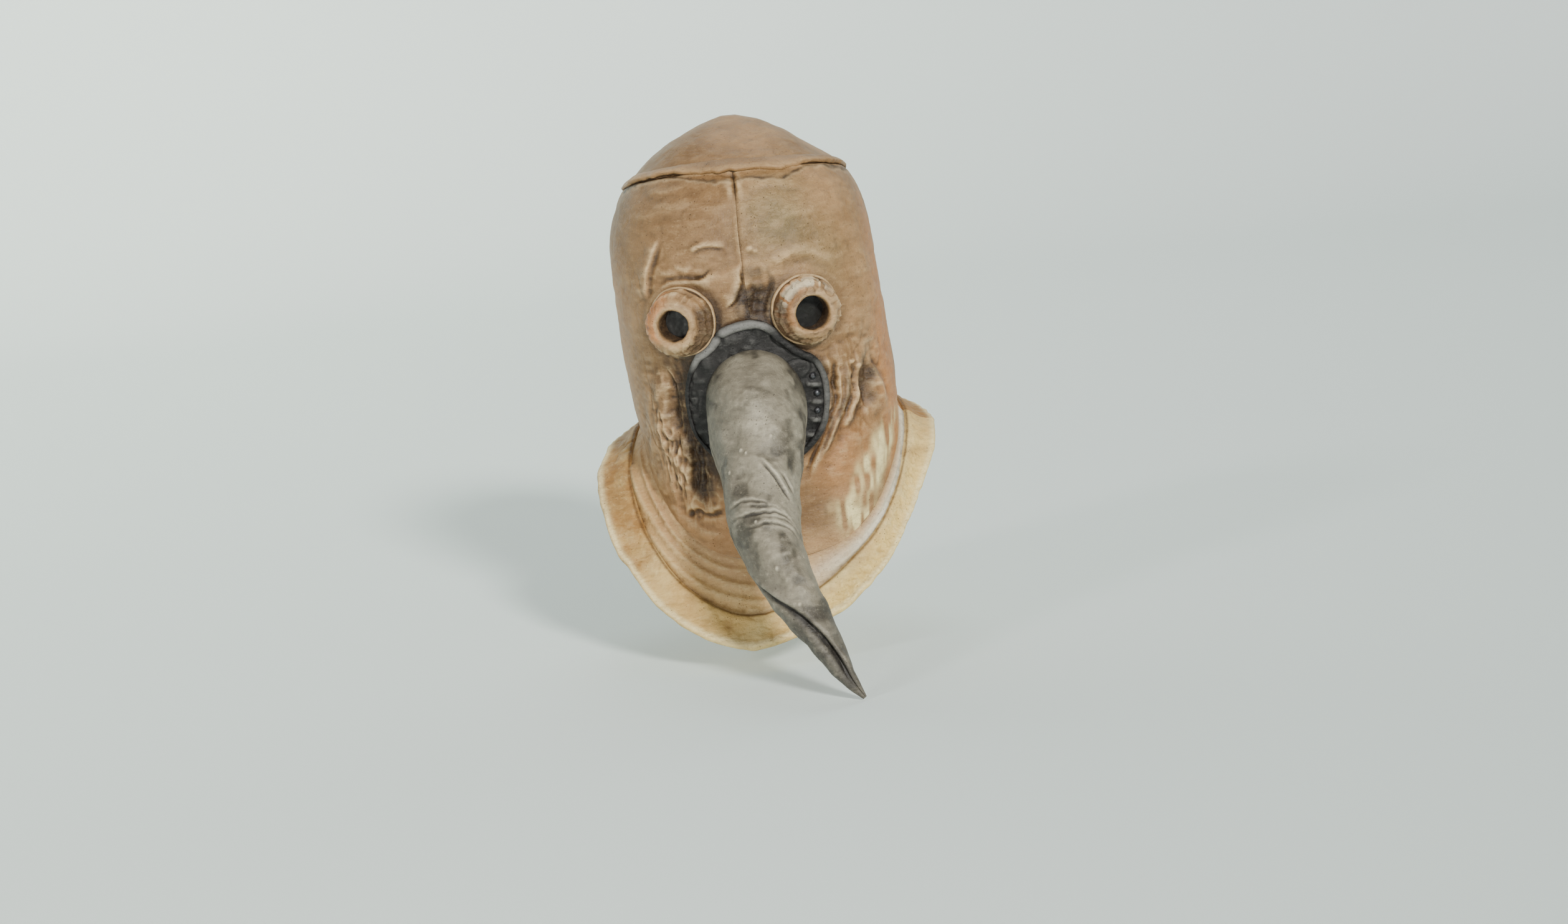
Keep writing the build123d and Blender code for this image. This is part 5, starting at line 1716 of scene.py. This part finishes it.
YELLOW = leather(
    "collar_leather", 0xBC955A, 0xCEAA6E, 0xDCBF84, 0x4A2F14, 0xF2DFAE, gloss=0.48,
    tints=(("tan", 0xAD895F), ("warm", 0xA8702F), ("pale", 0xF6F0D8)),
)
BAND = leather(
    "hem_leather", 0xCBA664, 0xD8B774, 0xE4CB8E, 0x5A3C18, 0xF4E2AC, gloss=0.45,
    tints=(("fleece", 0xEACB7C), ("warm", 0xB4803C), ("soil", 0x9C7440)),
)
PAD = leather("pad_leather", 0x5B4432, 0x67503B, 0x735B45, 0x2A1E15, 0x8C7256, gloss=0.45)
CLOTH = cloth("lining_cloth", 0xB7A988, 0x8A7B5D)
TAPE = cloth("seam_tape", 0x9A8B6B, 0x6F6248, thread=1.2)
LINEN = cloth("sachet_linen", 0xC5B48D, 0x94835E, thread=1.1)
SCREEN = leather("screen_leather", 0x4A3727, 0x5A4531, 0x66503A, 0x22180F, 0x86694A, gloss=0.4)
GASKET = leather("gasket_leather", 0x33261B, 0x3D2E21, 0x473628, 0x18110B, 0x5E4A37, gloss=0.45)
BRASS = metal("old_brass", 0xA98446, 0x55401F, 0.28)
IRON = metal("dark_iron", 0x55565A, 0x24211F, 0.35, 0.85)

for panel_name, panel_sign in (("left", 1), ("right", -1)):
    front_panel(f"front_panel_{panel_name}", panel_sign, TAN)
    back_panel(f"back_panel_{panel_name}", panel_sign, TAN)
    eye_flange(panel_name, EYE_TAN)
    eye_cup(panel_name, EYE_TAN)
crown_panel(TAN)
crown_edge(TAN)
hood_inside(CLOTH, TAPE, TAN)
beak_plate(BLACK)
plate_bead(ROLLED)
beak_half("beak_upper", 0, GREY)
beak_half("beak_lower", 180, GREY)
# Each piece of the collar, with the angles where it starts and stops
COLLAR_PARTS = (("front", 5.65, -185.65), ("back_right", -185.85, -263.95), ("back_left", -266.25, -354.15))
for part, start, stop in COLLAR_PARTS:
    collar_piece(f"collar_{part}", start, stop, YELLOW)
    hem_piece(f"hem_{part}", start, stop, BAND)
for number, (part, z) in enumerate(zip(("upper", "lower"), TOGGLE_Z)):
    closure_tab(f"closure_tab_{part}", z, number, TAN)
head_ring_pad(PAD)
nose_pad(PAD)
herb_sachet(LINEN)
put_on(("lens_gasket_left", "lens_gasket_right"), GASKET)
put_on(("lens_left", "lens_right"), glass())
put_on(("nose_screen",), SCREEN)
put_on(("toggle_upper", "toggle_lower"), horn())
put_on(("plate_rivets", "plate_rivet_burrs"), IRON)
put_on(("lens_keeper_left", "lens_keeper_right", "toggle_post_upper", "toggle_post_lower"), BRASS)
put_on(("tab_rivets", "tab_rivet_burrs"), BRASS)

# ---------------------------------------------------------------- floor, light and camera

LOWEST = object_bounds()[0][2]


def backdrop():
    """Pale floor that curves up into a wall far behind."""
    look = Look("backdrop")
    split = look.node("ShaderNodeSeparateXYZ", {0: look.where})
    # Painted light: the backdrop is painted lighter on the left and darker on the right, and it glows
    # faintly.
    colour = look.mix(look.span(split.outputs[0], -1.6, 1.6), 0xF2FFF8, 0xC2CCCA)
    colour = look.mix(look.span(look.noise(900, 2), 0.3, 0.7, 0.0, 0.05), colour, 0xB9C2C4)
    glow = {"Emission_Color": (0.9, 1.0, 0.96, 1.0), "Emission_Strength": 0.2}
    material = look.close(colour, 0.9, Specular_IOR_Level=0.1, **glow)
    near, bend, radius, top, half_wide = -6.0, 2.2, 1.6, 6.0, 7.0  # metres
    profile = [(near, 0.0), (bend, 0.0)]
    for a in np.linspace(0, math.pi / 2, 24)[1:]:
        profile.append((bend + radius * math.sin(a), radius - radius * math.cos(a)))
    profile.append((bend + radius, top))
    floor = LOWEST - 0.001
    verts = [(x / MM, y / MM, (floor + z) / MM) for y, z in profile for x in (-half_wide, half_wide)]
    faces = [(2 * k, 2 * k + 1, 2 * k + 3, 2 * k + 2) for k in range(len(profile) - 1)]
    obj = mesh_object("backdrop", verts, faces)
    obj.data.materials.append(material)


def soft_light(name, place, size, power, colour):
    light = bpy.data.lights.new(name, "AREA")
    light.shape, light.size, light.energy, light.color = "DISK", size, power, colour
    obj = bpy.data.objects.new(name, light)
    obj.location = place
    obj.rotation_euler = (Vector((0, 0, -0.06)) - Vector(place)).to_track_quat("-Z", "Y").to_euler()
    bpy.context.scene.collection.objects.link(obj)


def sun(name, towards, strength, softness, colour):
    light = bpy.data.lights.new(name, "SUN")
    light.energy, light.angle, light.color = strength, math.radians(softness), colour
    obj = bpy.data.objects.new(name, light)
    obj.rotation_euler = Vector(towards).to_track_quat("-Z", "Y").to_euler()
    bpy.context.scene.collection.objects.link(obj)


backdrop()
sun("key", (-0.33, 0.84, -0.43), 3.8, 8, (1.0, 0.975, 0.93))
sun("side", (0.66, 0.55, -0.50), 0.6, 9, (1.0, 0.98, 0.96))
soft_light("top", (0.2, 0.9, 2.4), 1.4, 14, (0.95, 0.98, 1.0))
soft_light("low", (-0.3, -1.5, -0.16), 0.5, 7, (1.0, 0.96, 0.9))

world = bpy.data.worlds.new("studio")
world.use_nodes = True
world.node_tree.nodes["Background"].inputs[0].default_value = (0.84, 0.88, 0.88, 1.0)
world.node_tree.nodes["Background"].inputs[1].default_value = 0.16
bpy.context.scene.world = world

TILT, ROLL = math.radians(10), math.radians(6)
CAMERA_AWAY = 2.5  # metres
level, rise = Vector((1, 0, 0)), Vector((0, math.sin(TILT), math.cos(TILT)))
right = math.cos(ROLL) * level - math.sin(ROLL) * rise
over = math.sin(ROLL) * level + math.cos(ROLL) * rise
back = right.cross(over)
aim = (17.9 * level - 133.96 * rise) * MM
camera = bpy.data.cameras.new("camera")
camera.lens, camera.sensor_width = 75, 36
camera_obj = bpy.data.objects.new("camera", camera)
turned = Matrix((right, over, back)).transposed().to_4x4()
camera_obj.matrix_world = Matrix.Translation(aim + CAMERA_AWAY * back) @ turned
bpy.context.scene.collection.objects.link(camera_obj)
bpy.context.scene.camera = camera_obj
